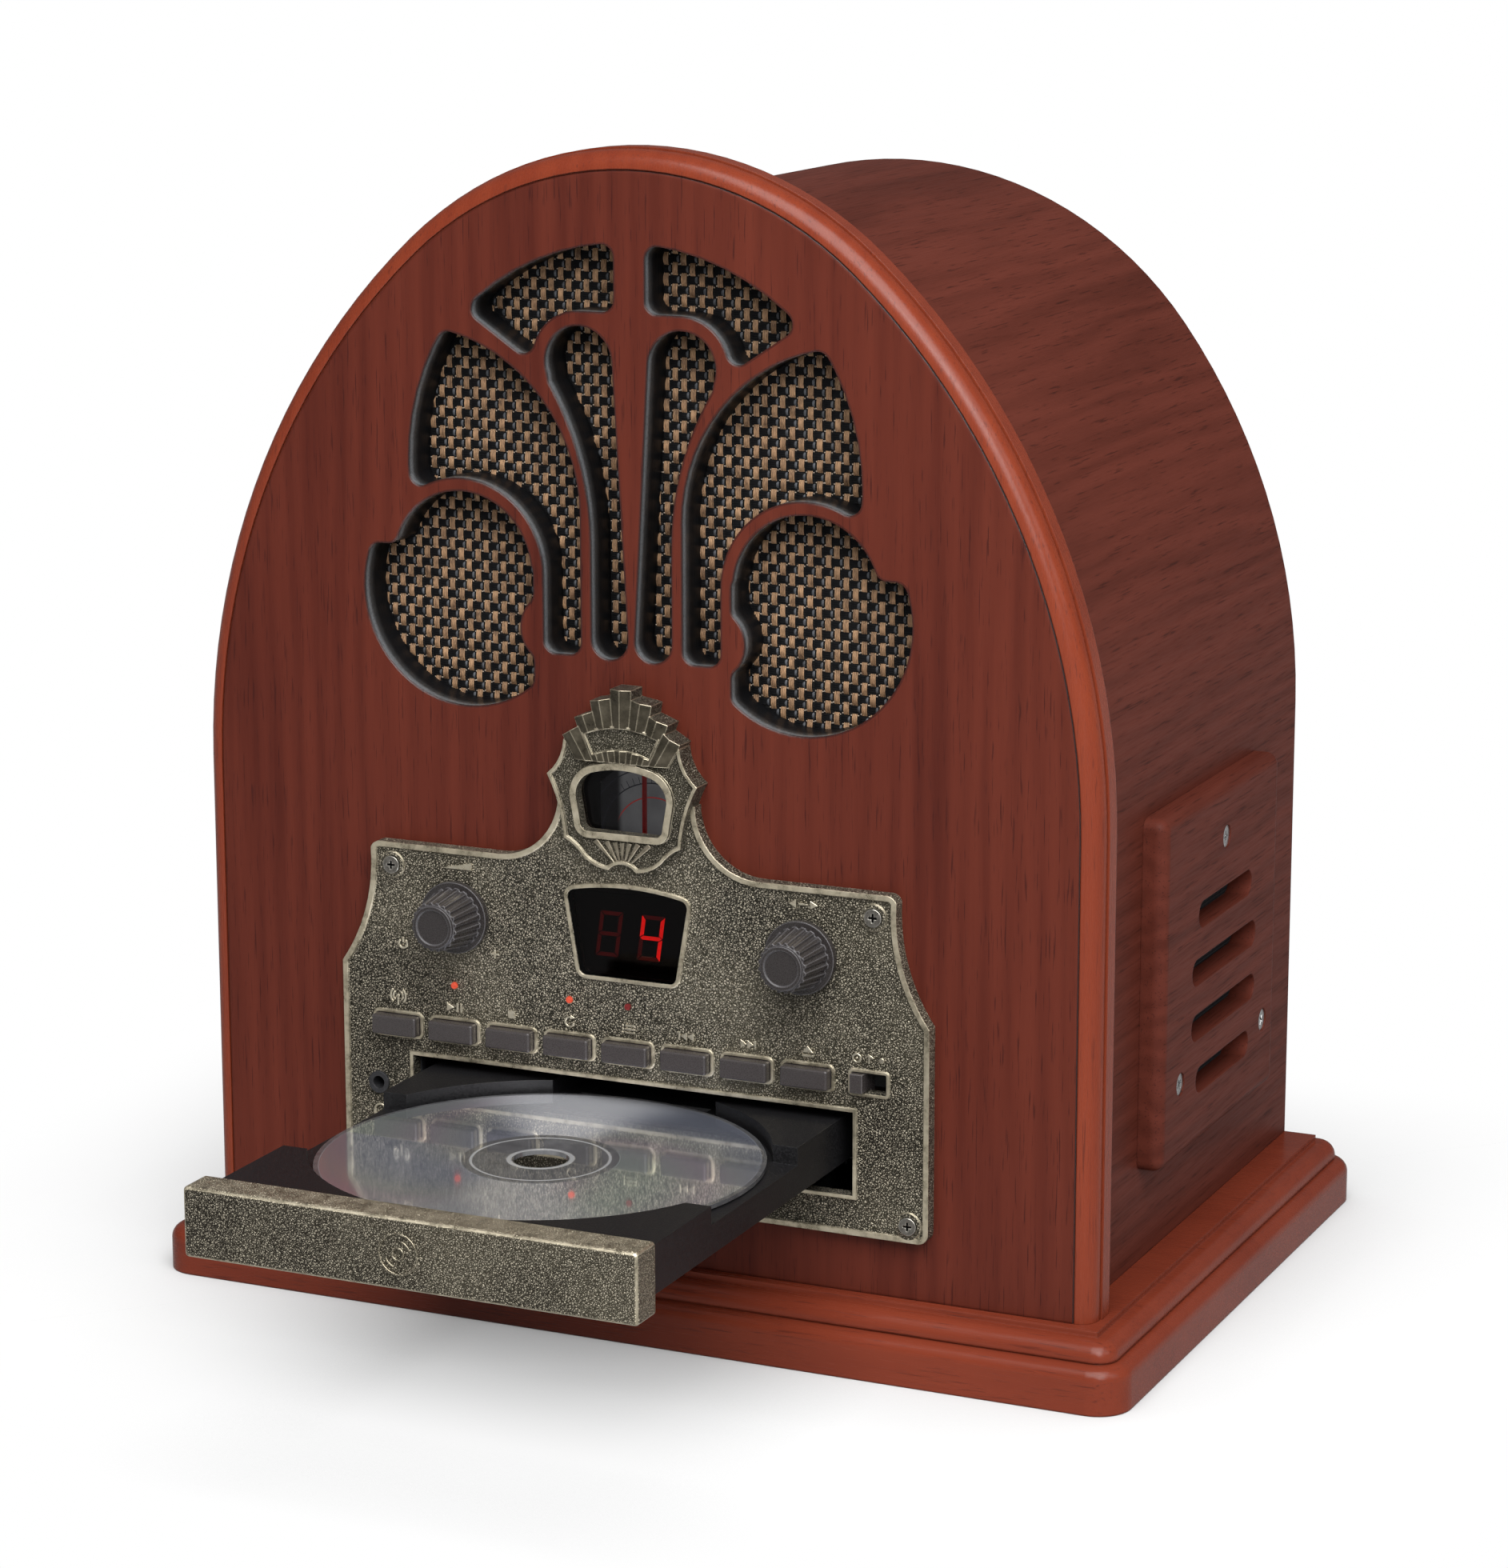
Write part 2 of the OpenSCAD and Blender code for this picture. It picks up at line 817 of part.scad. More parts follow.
module moulding_turn(centre, r, start, turn) {
    translate([centre.x, 0, centre.y]) rotate([90, 0, 0]) mirror([0, 0, 1]) rotate([0, 0, start]) {
        rotate_extrude(angle = turn, $fn = 180) translate([r - moulding_w, 0]) moulding_section();
    }
}

// Three lengths, with a hairline joint at each end of the crown
module arch_moulding() {
    side_r = arch_side(front_arch);
    turn = arch_turn(front_arch);
    crown_start = turn + moulding_joint;
    color("peru") fitted() {
        both_sides() {
            translate([arch_half - moulding_w, 0, 0]) linear_extrude(arch_spring) moulding_section();
            moulding_turn([arch_half - side_r, arch_spring], side_r, 0, turn);
        }
        moulding_turn([0, arch_crown(front_arch)], arch_crown_r, crown_start, 180 - 2 * crown_start);
    }
}

module grille_cloth() {
    color("tan") fitted() slab(board_t, board_t + cloth_t) intersection() {
        arch(shell_arch, wall_t + over);
        translate([-arch_half, fan_z - cloth_drop]) square(2 * arch_half);
    }
}

// Back panel

module back_screw_places() {
    for (s = [-1, 1], z = back_screw_heights) {
        translate([s * (shell_half - back_screw_inset), 0, z]) children();
    }
    for (a = back_screw_angles) {
        translate([0, 0, arch_crown(shell_arch)]) rotate([0, -a, 0]) {
            translate([shell_crown_r - back_screw_inset, 0, 0]) children();
        }
    }
}

module back_panel() {
    color("dimgray") fitted() difference() {
        slab(panel_front, panel_back) arch(shell_arch, wall_t - ledge_w + fit);
        slab(panel_front - over, panel_back + over) {
            for (i = [0 : vent_count - 1]) {
                translate([0, vent_z + i * vent_pitch]) stadium(vent_len, vent_h);
            }
            translate(inlet_pos) square([inlet_w + 2 * fit, inlet_h + 2 * fit], center = true);
        }
        back_screw_places() bar_y(back_screw_r + fit, panel_front - over, panel_back + over);
    }
}

module back_panel_screws() {
    color("gray") fitted() back_screw_places() {
        bar_y(back_screw_r, panel_front - back_screw_bite + run, panel_back);
        difference() {
            bar_y(back_screw_head_r, panel_back, panel_back + back_screw_head_h);
            screw_cross(panel_back + back_screw_head_h, back_screw_head_r);
        }
    }
}

// Cross recess in a head whose face is at the given depth
module screw_cross(y, r) {
    for (a = [0, 90]) {
        translate([0, y, 0]) rotate([0, a, 0]) cube([r, 2 * cross_deep, r / 4], center = true);
    }
}

module mains_inlet() {
    color("black") fitted() translate([inlet_pos.x, 0, inlet_pos.y]) {
        difference() {
            union() {
                slab(panel_back - inlet_depth, panel_back) square([inlet_w, inlet_h], center = true);
                slab(panel_back, panel_back + inlet_wall) {
                    square([inlet_w + 2 * inlet_flange, inlet_h + 2 * inlet_flange], center = true);
                }
            }
            slab(panel_back - inlet_depth + inlet_wall, panel_back + inlet_wall + over) {
                stadium(inlet_socket.x, inlet_socket.y);
            }
        }
        for (x = [-inlet_pin_x, inlet_pin_x]) translate([x, 0, 0]) {
            bar_y(inlet_pin_r, panel_back - inlet_depth + inlet_wall, panel_back - inlet_wall);
        }
    }
}

// Side grilles and speakers

module speaker_bolts() {
    for (a = [90, 210, 330]) {
        rotate([a, 0, 0]) translate([0, speaker_bolt_r, 0]) children();
    }
}

module louvres() {
    for (i = [-1.5 : 1 : 1.5]) {
        translate([speaker_y, speaker_z + i * louvre_pitch]) {
            stadium(abs(i) > 1 ? louvre_short : louvre_long, louvre_h);
        }
    }
}

// Right-hand plate
module side_grille() {
    difference() {
        translate([shell_half, side_plate_y, side_plate_z]) rotate([90, 0, 90]) {
            pillow(side_plate, side_plate, side_plate_t, side_plate_r);
        }
        side_slab(shell_half - over, side_face + over) louvres();
        translate([0, speaker_y, speaker_z]) speaker_bolts() {
            bar_x(bolt_r + fit, shell_half - over, side_face + over);
            bar_x(bolt_head_r + fit, side_face - bolt_sink, side_face + over);
        }
    }
}

module side_grille_right() {
    color("saddlebrown") fitted() side_grille();
}

module side_grille_left() {
    color("saddlebrown") fitted() mirror([1, 0, 0]) side_grille();
}

module side_grille_cloths() {
    color("black") fitted() both_sides() translate([0, speaker_y, speaker_z]) {
        bar_x(speaker_hole_r - fit, shell_half - cloth_t, shell_half);
    }
}

module side_grille_screws() {
    head = side_face - bolt_sink;
    color("gray") fitted() both_sides() translate([0, speaker_y, speaker_z]) speaker_bolts() {
        bar_x(bolt_r, wall_inner - speaker_rim_t - 2, head);
        difference() {
            bar_x(bolt_head_r, head, head + bolt_head_h);
            translate([head + bolt_head_h, 0, 0]) rotate([0, 0, -90]) screw_cross(0, bolt_head_r);
        }
    }
}

// Right-hand frame: rim, basket and magnet about the speaker's axis
module speaker_frame() {
    rim_x = wall_inner;
    translate([rim_x, speaker_y, speaker_z]) rotate([0, -90, 0]) difference() {
        union() {
            cylinder(r = speaker_rim_r, h = speaker_rim_t);
            cylinder(r1 = speaker_hole_r + 2, r2 = magnet_r, h = speaker_depth - magnet_t);
            translate([0, 0, speaker_depth - magnet_t]) cylinder(r = magnet_r, h = magnet_t);
        }
        translate([0, 0, -over]) cylinder(r = speaker_hole_r, h = over + 0.01);
        cylinder(r1 = speaker_hole_r, r2 = magnet_r - 4, h = speaker_depth - magnet_t);
        rotate([0, 90, 0]) speaker_bolts() bar_x(bolt_r + fit, -speaker_depth, over);
    }
}

module right_speaker_frame() {
    color("darkslategray") fitted() speaker_frame();
}

module left_speaker_frame() {
    color("darkslategray") fitted() mirror([1, 0, 0]) speaker_frame();
}

module speaker_cones() {
    cone_t = 0.8;
    cone_depth = speaker_depth - magnet_t;
    slope = (speaker_hole_r - magnet_r + 4) / cone_depth;
    low_r = speaker_hole_r - slope * cone_depth;
    color("black") fitted() both_sides() {
        translate([wall_inner, speaker_y, speaker_z]) rotate([0, -90, 0]) rotate_extrude() {
            polygon([
                [speaker_hole_r - fit, 0],
                [low_r - fit, cone_depth],
                [0, cone_depth],
                [0, cone_depth - cone_t],
                [low_r - cone_t, cone_depth - cone_t],
                [speaker_hole_r - 2 * cone_t, 0]
            ]);
        }
    }
}

// Faceplate

module corner_cut(r) {
    difference() {
        translate([-r, -r]) square(r + over);
        translate([-r, -r]) circle(r);
    }
}

// Outline of the faceplate, set in by an amount
module plate_outline(inset) {
    corner = plate_corner_r - inset;
    difference() {
        union() {
            translate([inset - plate_w / 2, plate_z + inset]) {
                square([plate_w - 2 * inset, plate_top - plate_z - 2 * inset]);
            }
            translate([-neck_cx, plate_top - inset - over]) {
                square([2 * neck_cx, neck_r + inset + over]);
            }
            translate([inset - column_x, neck_top - over]) {
                square([2 * (column_x - inset), column_top - inset - neck_top + over]);
            }
        }
        both_sides() {
            translate([shoulder_cx, shoulder_z]) circle(shoulder_r + inset, $fn = 120);
            translate([neck_cx, neck_top]) circle(neck_r + inset);
            translate([shoulder_corner_x - inset, plate_top - inset]) corner_cut(corner);
            translate([plate_w / 2 - inset, plate_z + inset]) mirror([0, 1]) corner_cut(corner);
        }
    }
}

// Keystone window of the display
module keystone(grow) {
    top = display_z + display_h;
    offset(r = display_corner + grow) offset(delta = -display_corner) intersection() {
        polygon([
            [-display_low_x, display_z],
            [display_low_x, display_z],
            [display_top_x, top],
            [display_top_x, top + display_crown],
            [-display_top_x, top + display_crown],
            [-display_top_x, top]
        ]);
        translate([0, top + display_crown - display_crown_r]) circle(display_crown_r, $fn = 180);
    }
}

// Rounded window of the dial
module dial_window(grow) {
    low_r = window_low_r + grow;
    top_r = window_top_r + grow;
    low = arc_points([window_low_x - window_low_r, window_z + window_low_r], low_r, -90, 0, 6);
    high = arc_points([window_top_x - window_top_r, window_top - window_top_r - 1], top_r, 0, 80, 8);
    crown = [0, window_top + grow];
    right = concat(low, high, bow(high[8], crown, -0.3, 6), [crown]);
    polygon(concat(right, mirrored(right)));
}

module in_row(i) {
    translate([(i - 4) * row_pitch, 0, row_z]) children();
}

module plate_openings() {
    keystone(0);
    dial_window(lens_lap);
    translate([-slot_w / 2, slot_z]) square([slot_w, slot_h]);
    for (i = [0 : 7]) {
        translate([(i - 4) * row_pitch, row_z]) {
            round_rect(cap_w + 2 * rim_gap, cap_h + 2 * rim_gap, button_corner);
        }
    }
    translate([4 * row_pitch, row_z]) round_rect(slide_w, slide_h, slide_corner);
    for (i = led_columns) translate([(i - 4) * row_pitch, led_z]) circle(led_r + fit);
    for (s = [-1, 1]) translate([s * knob_x, knob_z]) circle(spindle_r + 2 * over);
    translate(jack_pos) circle(jack_barrel_r + fit);
    both_sides() for (p = plate_screws) translate(p) circle(plate_screw_r + fit);
}

module plate_rims() {
    difference() {
        plate_outline(0);
        plate_outline(rim_w);
        crest_outline();
    }
    keystone(display_rim);
    translate([-slot_w / 2 - slot_rim, slot_z - slot_rim]) {
        square([slot_w + 2 * slot_rim, slot_h + 2 * slot_rim]);
    }
    for (i = [0 : 7]) {
        translate([(i - 4) * row_pitch, row_z]) {
            frame = rim_gap + button_rim;
            round_rect(cap_w + 2 * frame, cap_h + 2 * frame, button_corner + button_rim);
        }
    }
    translate([4 * row_pitch, row_z]) {
        round_rect(slide_w + 2 * button_rim, slide_h + 2 * button_rim, slide_corner + button_rim);
    }
    both_sides() for (p = plate_screws) translate(p) circle(plate_boss_r);
}

module faceplate() {
    color("darkkhaki") fitted() {
        difference() {
            union() {
                slab(field_y, 0) plate_outline(0);
                slab(-plate_t, field_y) plate_rims();
            }
            slab(-plate_t - over, over) plate_openings();
            both_sides() for (p = plate_screws) translate([p.x, 0, p.y]) {
                bar_y(plate_screw_head_r + fit, -plate_t - over, field_y + rim_h);
            }
        }
        pcb_bosses() bar_y(pcb_boss_r, 0, pcb_y);
    }
}

module pcb_bosses() {
    for (s = [-1, 1]) {
        translate([s * (works_x - 4), 0, works_top - 6]) children();
        translate([s * (row_x - 4), 0, row_high - 3.5]) children();
    }
}

module faceplate_screws() {
    color("darkkhaki") fitted() both_sides() for (p = plate_screws) translate([p.x, 0, p.y]) {
        bar_y(plate_screw_r, field_y + rim_h, plate_screw_len - run);
        difference() {
            bar_y(plate_screw_head_r, -plate_t - rim_h, field_y + rim_h);
            screw_cross(-plate_t - rim_h, plate_screw_head_r);
        }
    }
}

// Crest

function crest_half() = let (
    lobe_low = [4.2, 112.6],
    foot = [11.8, 115.8],
    hip = [17.6, 120.5],
    cusp = [22.6, 138],
    shoulder = [17.4, 148]
) concat(
    bow([0, 114.6], lobe_low, 0.5, 4),
    bow(lobe_low, foot, -0.7, 6),
    bow(foot, hip, 0.5, 4),
    bow(hip, cusp, 1, 6),
    bow(cusp, shoulder, 1.2, 5),
    [shoulder, [14, 149]]
);

module crest_outline() {
    polygon(concat(crest_half(), mirrored(crest_half())));
}

module crest_rim() {
    difference() {
        crest_outline();
        offset(delta = -crest_rim_w) crest_outline();
    }
}

// Radial rays with a roof-shaped front, longest in the middle
module crest_rays(back_y) {
    for (i = [-3 : 3]) {
        translate([0, 0, crest_ray_z]) rotate([0, i * crest_ray_step, 0]) {
            linear_extrude(crest_ray_tips[abs(i)]) polygon([
                [-crest_ray_w / 2, back_y],
                [-crest_ray_w / 2, crest_rim_y],
                [0, crest_frame_y - crest_line],
                [crest_ray_w / 2, crest_rim_y],
                [crest_ray_w / 2, back_y]
            ]);
        }
    }
}

// Bare name panel: part of a ring about the centre of the rays
module crest_panel(grow) {
    half = crest_panel_half + grow * 2;
    translate([0, crest_ray_z]) polygon(concat(
        arc_points([0, 0], crest_panel_out + grow, 90 - half, 90 + half, 10),
        arc_points([0, 0], crest_panel_in - grow, 90 + half, 90 - half, 10)
    ));
}

module crest_fan() {
    fan_low = window_top + window_frame;
    intersection() {
        crest_rays(0);
        slab(crest_frame_y - over, over) translate([-column_x, fan_low]) square(3 * column_x);
    }
}

module dial_crest() {
    color("darkkhaki") fitted() difference() {
        union() {
            slab(crest_field_y, field_y) crest_outline();
            slab(field_y, 0) difference() {
                crest_outline();
                plate_outline(-fit);
            }
            slab(crest_rim_y, crest_field_y) crest_rim();
            difference() {
                crest_fan();
                slab(field_y, over) plate_outline(-fit);
                slab(crest_frame_y - over - crest_line, crest_field_y - crest_line) crest_panel(0);
            }
            slab(crest_frame_y, field_y) difference() {
                crest_panel(crest_line);
                crest_panel(0);
            }
            slab(crest_frame_y, crest_field_y) dial_window(window_frame);
        }
        slab(crest_frame_y - over, over) dial_window(0);
    }
}

module dial_lens() {
    color("dimgray", 0.4) fitted() slab(field_y, field_y + lens_t) dial_window(lens_lap - fit);
}

module dial_tunnel() {
    outer_x = column_cut_x - fit;
    low = works_top + fit;
    high = column_cut_top - fit;
    color("black") fitted() slab(0, board_t) difference() {
        translate([-outer_x, low]) square([2 * outer_x, high - low]);
        translate([tunnel_t - outer_x, low + tunnel_t]) {
            square([2 * (outer_x - tunnel_t), high - low - 2 * tunnel_t]);
        }
    }
}

module dial_pointer() {
    low = works_top + fit + tunnel_t;
    high = column_cut_top - fit - tunnel_t;
    color("red") fitted() {
        box([-pointer_w / 2, pointer_y, low], [pointer_w / 2, pointer_y + pointer_t, high]);
    }
}

module dial_disc() {
    color("gray") fitted() translate([0, 0, dial_z]) {
        bar_y(dial_r, dial_y, drum_y);
        bar_y(drum_r, drum_y, drum_y + drum_t);
        bar_y(dial_shaft_r, drum_y, gang_y + gang_depth / 2);
    }
}

module dial_cord() {
    color("khaki") fitted() slab(cord_y, cord_y + cord_d) difference() {
        cord_run(cord_d + shaft_gap);
        cord_run(shaft_gap);
    }
}

module cord_run(grow) {
    belt_outline([0, dial_z], drum_r + grow, [knob_x, knob_z], pulley_r + grow);
}

// Tuning capacitor on its bracket, which also carries the tuning spindle
module tuning_capacitor() {
    color("silver") fitted() difference() {
        union() {
            slab(bracket_y, bracket_y + bracket_t) {
                translate([-bracket_post.x - 4, dial_z - 8]) {
                    square([2 * bracket_post.x + 8, bracket_post.y + 12]);
                }
                translate([0, knob_z - 6]) square([knob_x + 6, dial_z - knob_z]);
            }
            slab(gang_y, gang_y + gang_depth) {
                translate([0, dial_z]) square(gang_w, center = true);
            }
            for (s = [-1, 1]) translate([s * bracket_post.x, 0, dial_z + bracket_post.y]) {
                bar_y(bracket_post_r, board_t, bracket_y);
            }
        }
        translate([0, 0, dial_z]) {
            bar_y(dial_shaft_r + shaft_gap, bracket_y - over, gang_y + gang_depth / 2 + run);
        }
        translate([knob_x, 0, knob_z]) {
            bar_y(spindle_r + shaft_gap, bracket_y - over, gang_y + over);
        }
    }
}

// Display, lamps and socket

module display_lens() {
    color("black", 0.6) fitted() slab(field_y, field_y + lens_t) keystone(-fit);
}

module display_module() {
    color("maroon") fitted() slab(pcb_gap, pcb_y) {
        translate([-17, display_z + 1]) square([34, display_h - 2]);
    }
}

module indicator_leds() {
    color("red") fitted() for (i = led_columns) {
        translate([(i - 4) * row_pitch, 0, led_z]) {
            bar_y(led_body_r, run, pcb_y);
            bar_y(led_r, -plate_t, run);
        }
    }
}

module headphone_jack() {
    color("black") fitted() translate([jack_pos.x, 0, jack_pos.y]) difference() {
        union() {
            bar_y(jack_ring_r, -plate_t - jack_lip, field_y);
            bar_y(jack_barrel_r, field_y, board_t);
            slab(board_t, board_t + jack_depth) square(jack_body, center = true);
        }
        bar_y(jack_bore / 2, -plate_t - over, board_t + jack_depth - jack_end);
    }
}

// Control board

module control_board() {
    color("darkgreen") fitted() difference() {
        slab(pcb_y, pcb_y + pcb_t) {
            translate([pcb_gap - row_x, pcb_low]) {
                square([2 * (row_x - pcb_gap), row_high - pcb_gap - pcb_low]);
            }
            translate([pcb_gap - works_x, pcb_low]) {
                square([2 * (works_x - pcb_gap), works_top - pcb_gap - pcb_low]);
            }
        }
        translate([-knob_x, 0, knob_z]) {
            bar_y(spindle_r + 2 * over + fit, pcb_y - over, pcb_y + pcb_t + over);
        }
        translate([knob_x, 0, knob_z]) bar_y(spindle_r + over, pcb_y - over, pcb_y + pcb_t + over);
    }
}

module switch_bodies() {
    color("black") fitted() {
        for (i = [0 : 7]) in_row(i) {
            slab(pcb_y - tact_body_t, pcb_y) square(tact_w, center = true);
            bar_y(tact_plunger_r, tact_front, pcb_y - tact_body_t);
        }
        in_row(8) slab(pcb_y - tact_body_t, pcb_y) square([slide_w, slide_h], center = true);
    }
}

module volume_potentiometer() {
    bush_r = spindle_r + 2 * over;
    color("silver") fitted() translate([-knob_x, 0, knob_z]) difference() {
        union() {
            bar_y(bush_r, over, pcb_y + pcb_t);
            bar_y(pot_r, pcb_y + pcb_t, pcb_y + pcb_t + pot_depth);
        }
        bar_y(spindle_r + shaft_gap, 0, pcb_y + pcb_t + pot_depth - over);
    }
}

// Knob with ribs round a tapering body, and its spindle
module knob(spindle_end) {
    foot = plate_t + 0.5;
    skirt_t_knob = 2;
    low_r = knob_r - 1.6;
    top_r = knob_r - 3.2;
    grip = knob_len - skirt_t_knob - 1;
    flutes = 20;
    lean = atan2(low_r - top_r, grip);
    rotate([90, 0, 0]) {
        translate([0, 0, foot]) {
            cylinder(r = knob_r, h = skirt_t_knob);
            translate([0, 0, skirt_t_knob]) difference() {
                cylinder(r1 = low_r, r2 = top_r, h = grip);
                for (i = [0 : flutes - 1]) rotate([0, 0, i * 360 / flutes]) {
                    translate([low_r + 0.2, 0, 0]) rotate([0, -lean, 0]) {
                        cylinder(r = 0.75, h = grip + 2 * over, $fn = 20);
                    }
                }
            }
            translate([0, 0, skirt_t_knob + grip]) difference() {
                cylinder(r = top_r - 0.9, h = 1);
                translate([0, 0, 0.6]) cylinder(r = top_r - 2, h = 1);
            }
        }
        translate([0, 0, -spindle_end]) cylinder(r = spindle_r, h = spindle_end + foot);
    }
}

module volume_knob() {
    color("dimgray") fitted() translate([-knob_x, 0, knob_z]) {
        knob(pcb_y + pcb_t + pot_depth - 2 * over);
    }
}

module tuning_knob() {
    color("dimgray") fitted() translate([knob_x, 0, knob_z]) {
        knob(gang_y + over);
        bar_y(pulley_r, drum_y, drum_y + drum_t);
    }
}

module button(i) {
    color("dimgray") fitted() in_row(i) {
        translate([0, rim_gap, 0]) rotate([90, 0, 0]) {
            pillow(cap_w, cap_h, plate_t + cap_out + rim_gap, 0.6);
        }
        slab(rim_gap, rim_gap + flange_t) {
            square([cap_w + 2 * flange_lip, cap_h + 2 * flange_lip], center = true);
        }
    }
}

module band_button() { button(0); }
module play_pause_button() { button(1); }
module stop_button() { button(2); }
module repeat_button() { button(3); }
module program_button() { button(4); }
module skip_back_button() { button(5); }
module skip_forward_button() { button(6); }
module open_close_button() { button(7); }

module function_switch() {
    lever_x = run - slide_w / 2;
    shoe = pcb_y - tact_body_t - run;
    color("dimgray") fitted() in_row(8) {
        box([lever_x, -plate_t - 1.6, run - slide_h / 2], [lever_x + lever_w, shoe, slide_h / 2 - run]);
        box([lever_x, run, -slide_h / 2 - over], [lever_x + lever_w, shoe, slide_h / 2 + over]);
    }
}

// Loader chassis

module foot_places() {
    for (y = [chassis_front + foot_from_end, chassis_back - foot_from_end - foot_len]) {
        translate([chassis_out, y, 0]) children();
    }
}

module foot_screw() {
    translate([foot_w / 2, foot_len / 2, 0]) children();
}

module loader_chassis() {
    rail_z = skirt_z - run;
    lip_z = tray_deck_z + 0.4;
    post_r = 4;
    rest_y = deck_front + 4;
    rest_drop = (hinge_z - deck_z) * cos(lift_angle) + (hinge_y - rest_y) * sin(lift_angle);
    rest_z = hinge_z - rest_drop - run;
    color("dimgray") fitted() difference() {
        union() {
            box([-chassis_out, chassis_front, 0], [chassis_out, chassis_back, chassis_floor]);
            box([-chassis_out, chassis_back - chassis_t, 0], [chassis_out, chassis_back, chassis_top]);
            both_sides() {
                box([chassis_in, chassis_front, 0], [chassis_out, chassis_back, chassis_top]);
                box([chassis_in - rail_w, chassis_front, rail_z - 2.5], [chassis_in, chassis_back, rail_z]);
                box([chassis_in - 2, chassis_front, lip_z], [chassis_in, chassis_back, chassis_top]);
                foot_places() cube([foot_w, foot_len, foot_t]);
                translate([deck_half - 8, rest_y, 0]) cylinder(r = 3, h = rest_z);
                box([post_in, hinge_y - 6, 0], [post_in + post_t, hinge_y + 6, hinge_z + 4]);
            }
            box([-chassis_out, chassis_front, 0], [chassis_out, chassis_front + chassis_t, deck_z - 12]);
            translate([gear_x, gear_y, 0]) {
                cylinder(r = post_r, h = belt_z - run);
                cylinder(r = gear_pin_r, h = gear_z + gear_t);
            }
        }
        translate([0, hinge_y, hinge_z]) {
            bar_x(trunnion_r + shaft_gap, -chassis_in + over, chassis_in - over);
        }
        both_sides() foot_places() foot_screw() {
            translate([0, 0, -over]) cylinder(r = loader_screw_r + fit, h = foot_t + 2 * over);
        }
    }
}

module loader_screws() {
    color("silver") fitted() both_sides() foot_places() foot_screw() {
        difference() {
            union() {
                cylinder(r = loader_screw_r, h = foot_t);
                translate([0, 0, foot_t]) cylinder(r = loader_screw_head_r, h = 2);
            }
            translate([0, 0, foot_t + 2]) rotate([90, 0, 0]) screw_cross(0, loader_screw_head_r);
        }
    }
}

module clamp_bridge() {
    color("silver") fitted() difference() {
        box(
            [-chassis_out, play_y - bridge_half, chassis_top],
            [chassis_out, play_y + bridge_half, chassis_top + bridge_t]
        );
        translate([0, play_y, chassis_top - over]) cylinder(r = puck_hole_r, h = bridge_t + 2 * over);
    }
}

module clamp_puck() {
    puck_z = disc_z + disc_t + puck_gap;
    rim_z = chassis_top + bridge_t + run;
    color("white") fitted() translate([0, play_y, 0]) difference() {
        union() {
            translate([0, 0, puck_z]) cylinder(r = puck_hole_r - run, h = rim_z - puck_z);
            translate([0, 0, rim_z]) cylinder(r = puck_r, h = puck_rim_t);
        }
        translate([0, 0, puck_z - over]) cylinder(r = hub_r - 2, h = over + puck_rim_t);
    }
}

module loading_motor() {
    color("silver") fitted() translate([motor_x, motor_y, chassis_floor]) {
        cylinder(r = motor_r, h = motor_h);
        cylinder(r = 3, h = motor_h + 2);
        cylinder(r = motor_shaft_r, h = belt_z + belt_pulley_t - chassis_floor);
    }
}

module motor_pulley() {
    color("white") fitted() translate([motor_x, motor_y, belt_z]) difference() {
        cylinder(r = motor_pulley_r, h = belt_pulley_t);
        translate([0, 0, -over]) cylinder(r = motor_shaft_r + shaft_gap, h = belt_pulley_t + 2 * over);
    }
}

module loading_belt() {
    belt_h = belt_pulley_t - 1;
    color("black") fitted() translate([0, 0, belt_z + 0.5]) linear_extrude(belt_h) difference() {
        belt_run(belt_t + shaft_gap);
        belt_run(shaft_gap);
    }
}

module belt_run(grow) {
    belt_outline([gear_x, gear_y], belt_pulley_r + grow, [motor_x, motor_y], motor_pulley_r + grow);
}

// One tooth of the gear or the rack, pointing along +X from its pitch line
function tooth(x, y, a) = let (
    points = [
        [-tooth_down, -tooth_root / 2 - 0.2],
        [tooth_up, -tooth_tip / 2],
        [tooth_up, tooth_tip / 2],
        [-tooth_down, tooth_root / 2 + 0.2]
    ]
) [for (p = points) [x + p.x * cos(a) - p.y * sin(a), y + p.x * sin(a) + p.y * cos(a)]];

module tray_drive_gear() {
    step = 360 / gear_teeth;
    color("white") fitted() translate([gear_x, gear_y, 0]) difference() {
        union() {
            translate([0, 0, gear_z]) linear_extrude(gear_t) {
                polygon([for (i = [0 : gear_teeth - 1])
                    each tooth(pitch_r * cos(i * step), pitch_r * sin(i * step), i * step)]);
            }
            translate([0, 0, belt_z]) cylinder(r = belt_pulley_r, h = gear_z - belt_z);
        }
        translate([0, 0, belt_z - over]) {
            cylinder(r = gear_pin_r + shaft_gap, h = gear_z + gear_t + 2 * over);
        }
    }
}

// Tray and disc

module tray_pad(y0, y1, x0) {
    box([x0, y0, tray_floor_top], [tray_half, y1, tray_deck_z]);
}

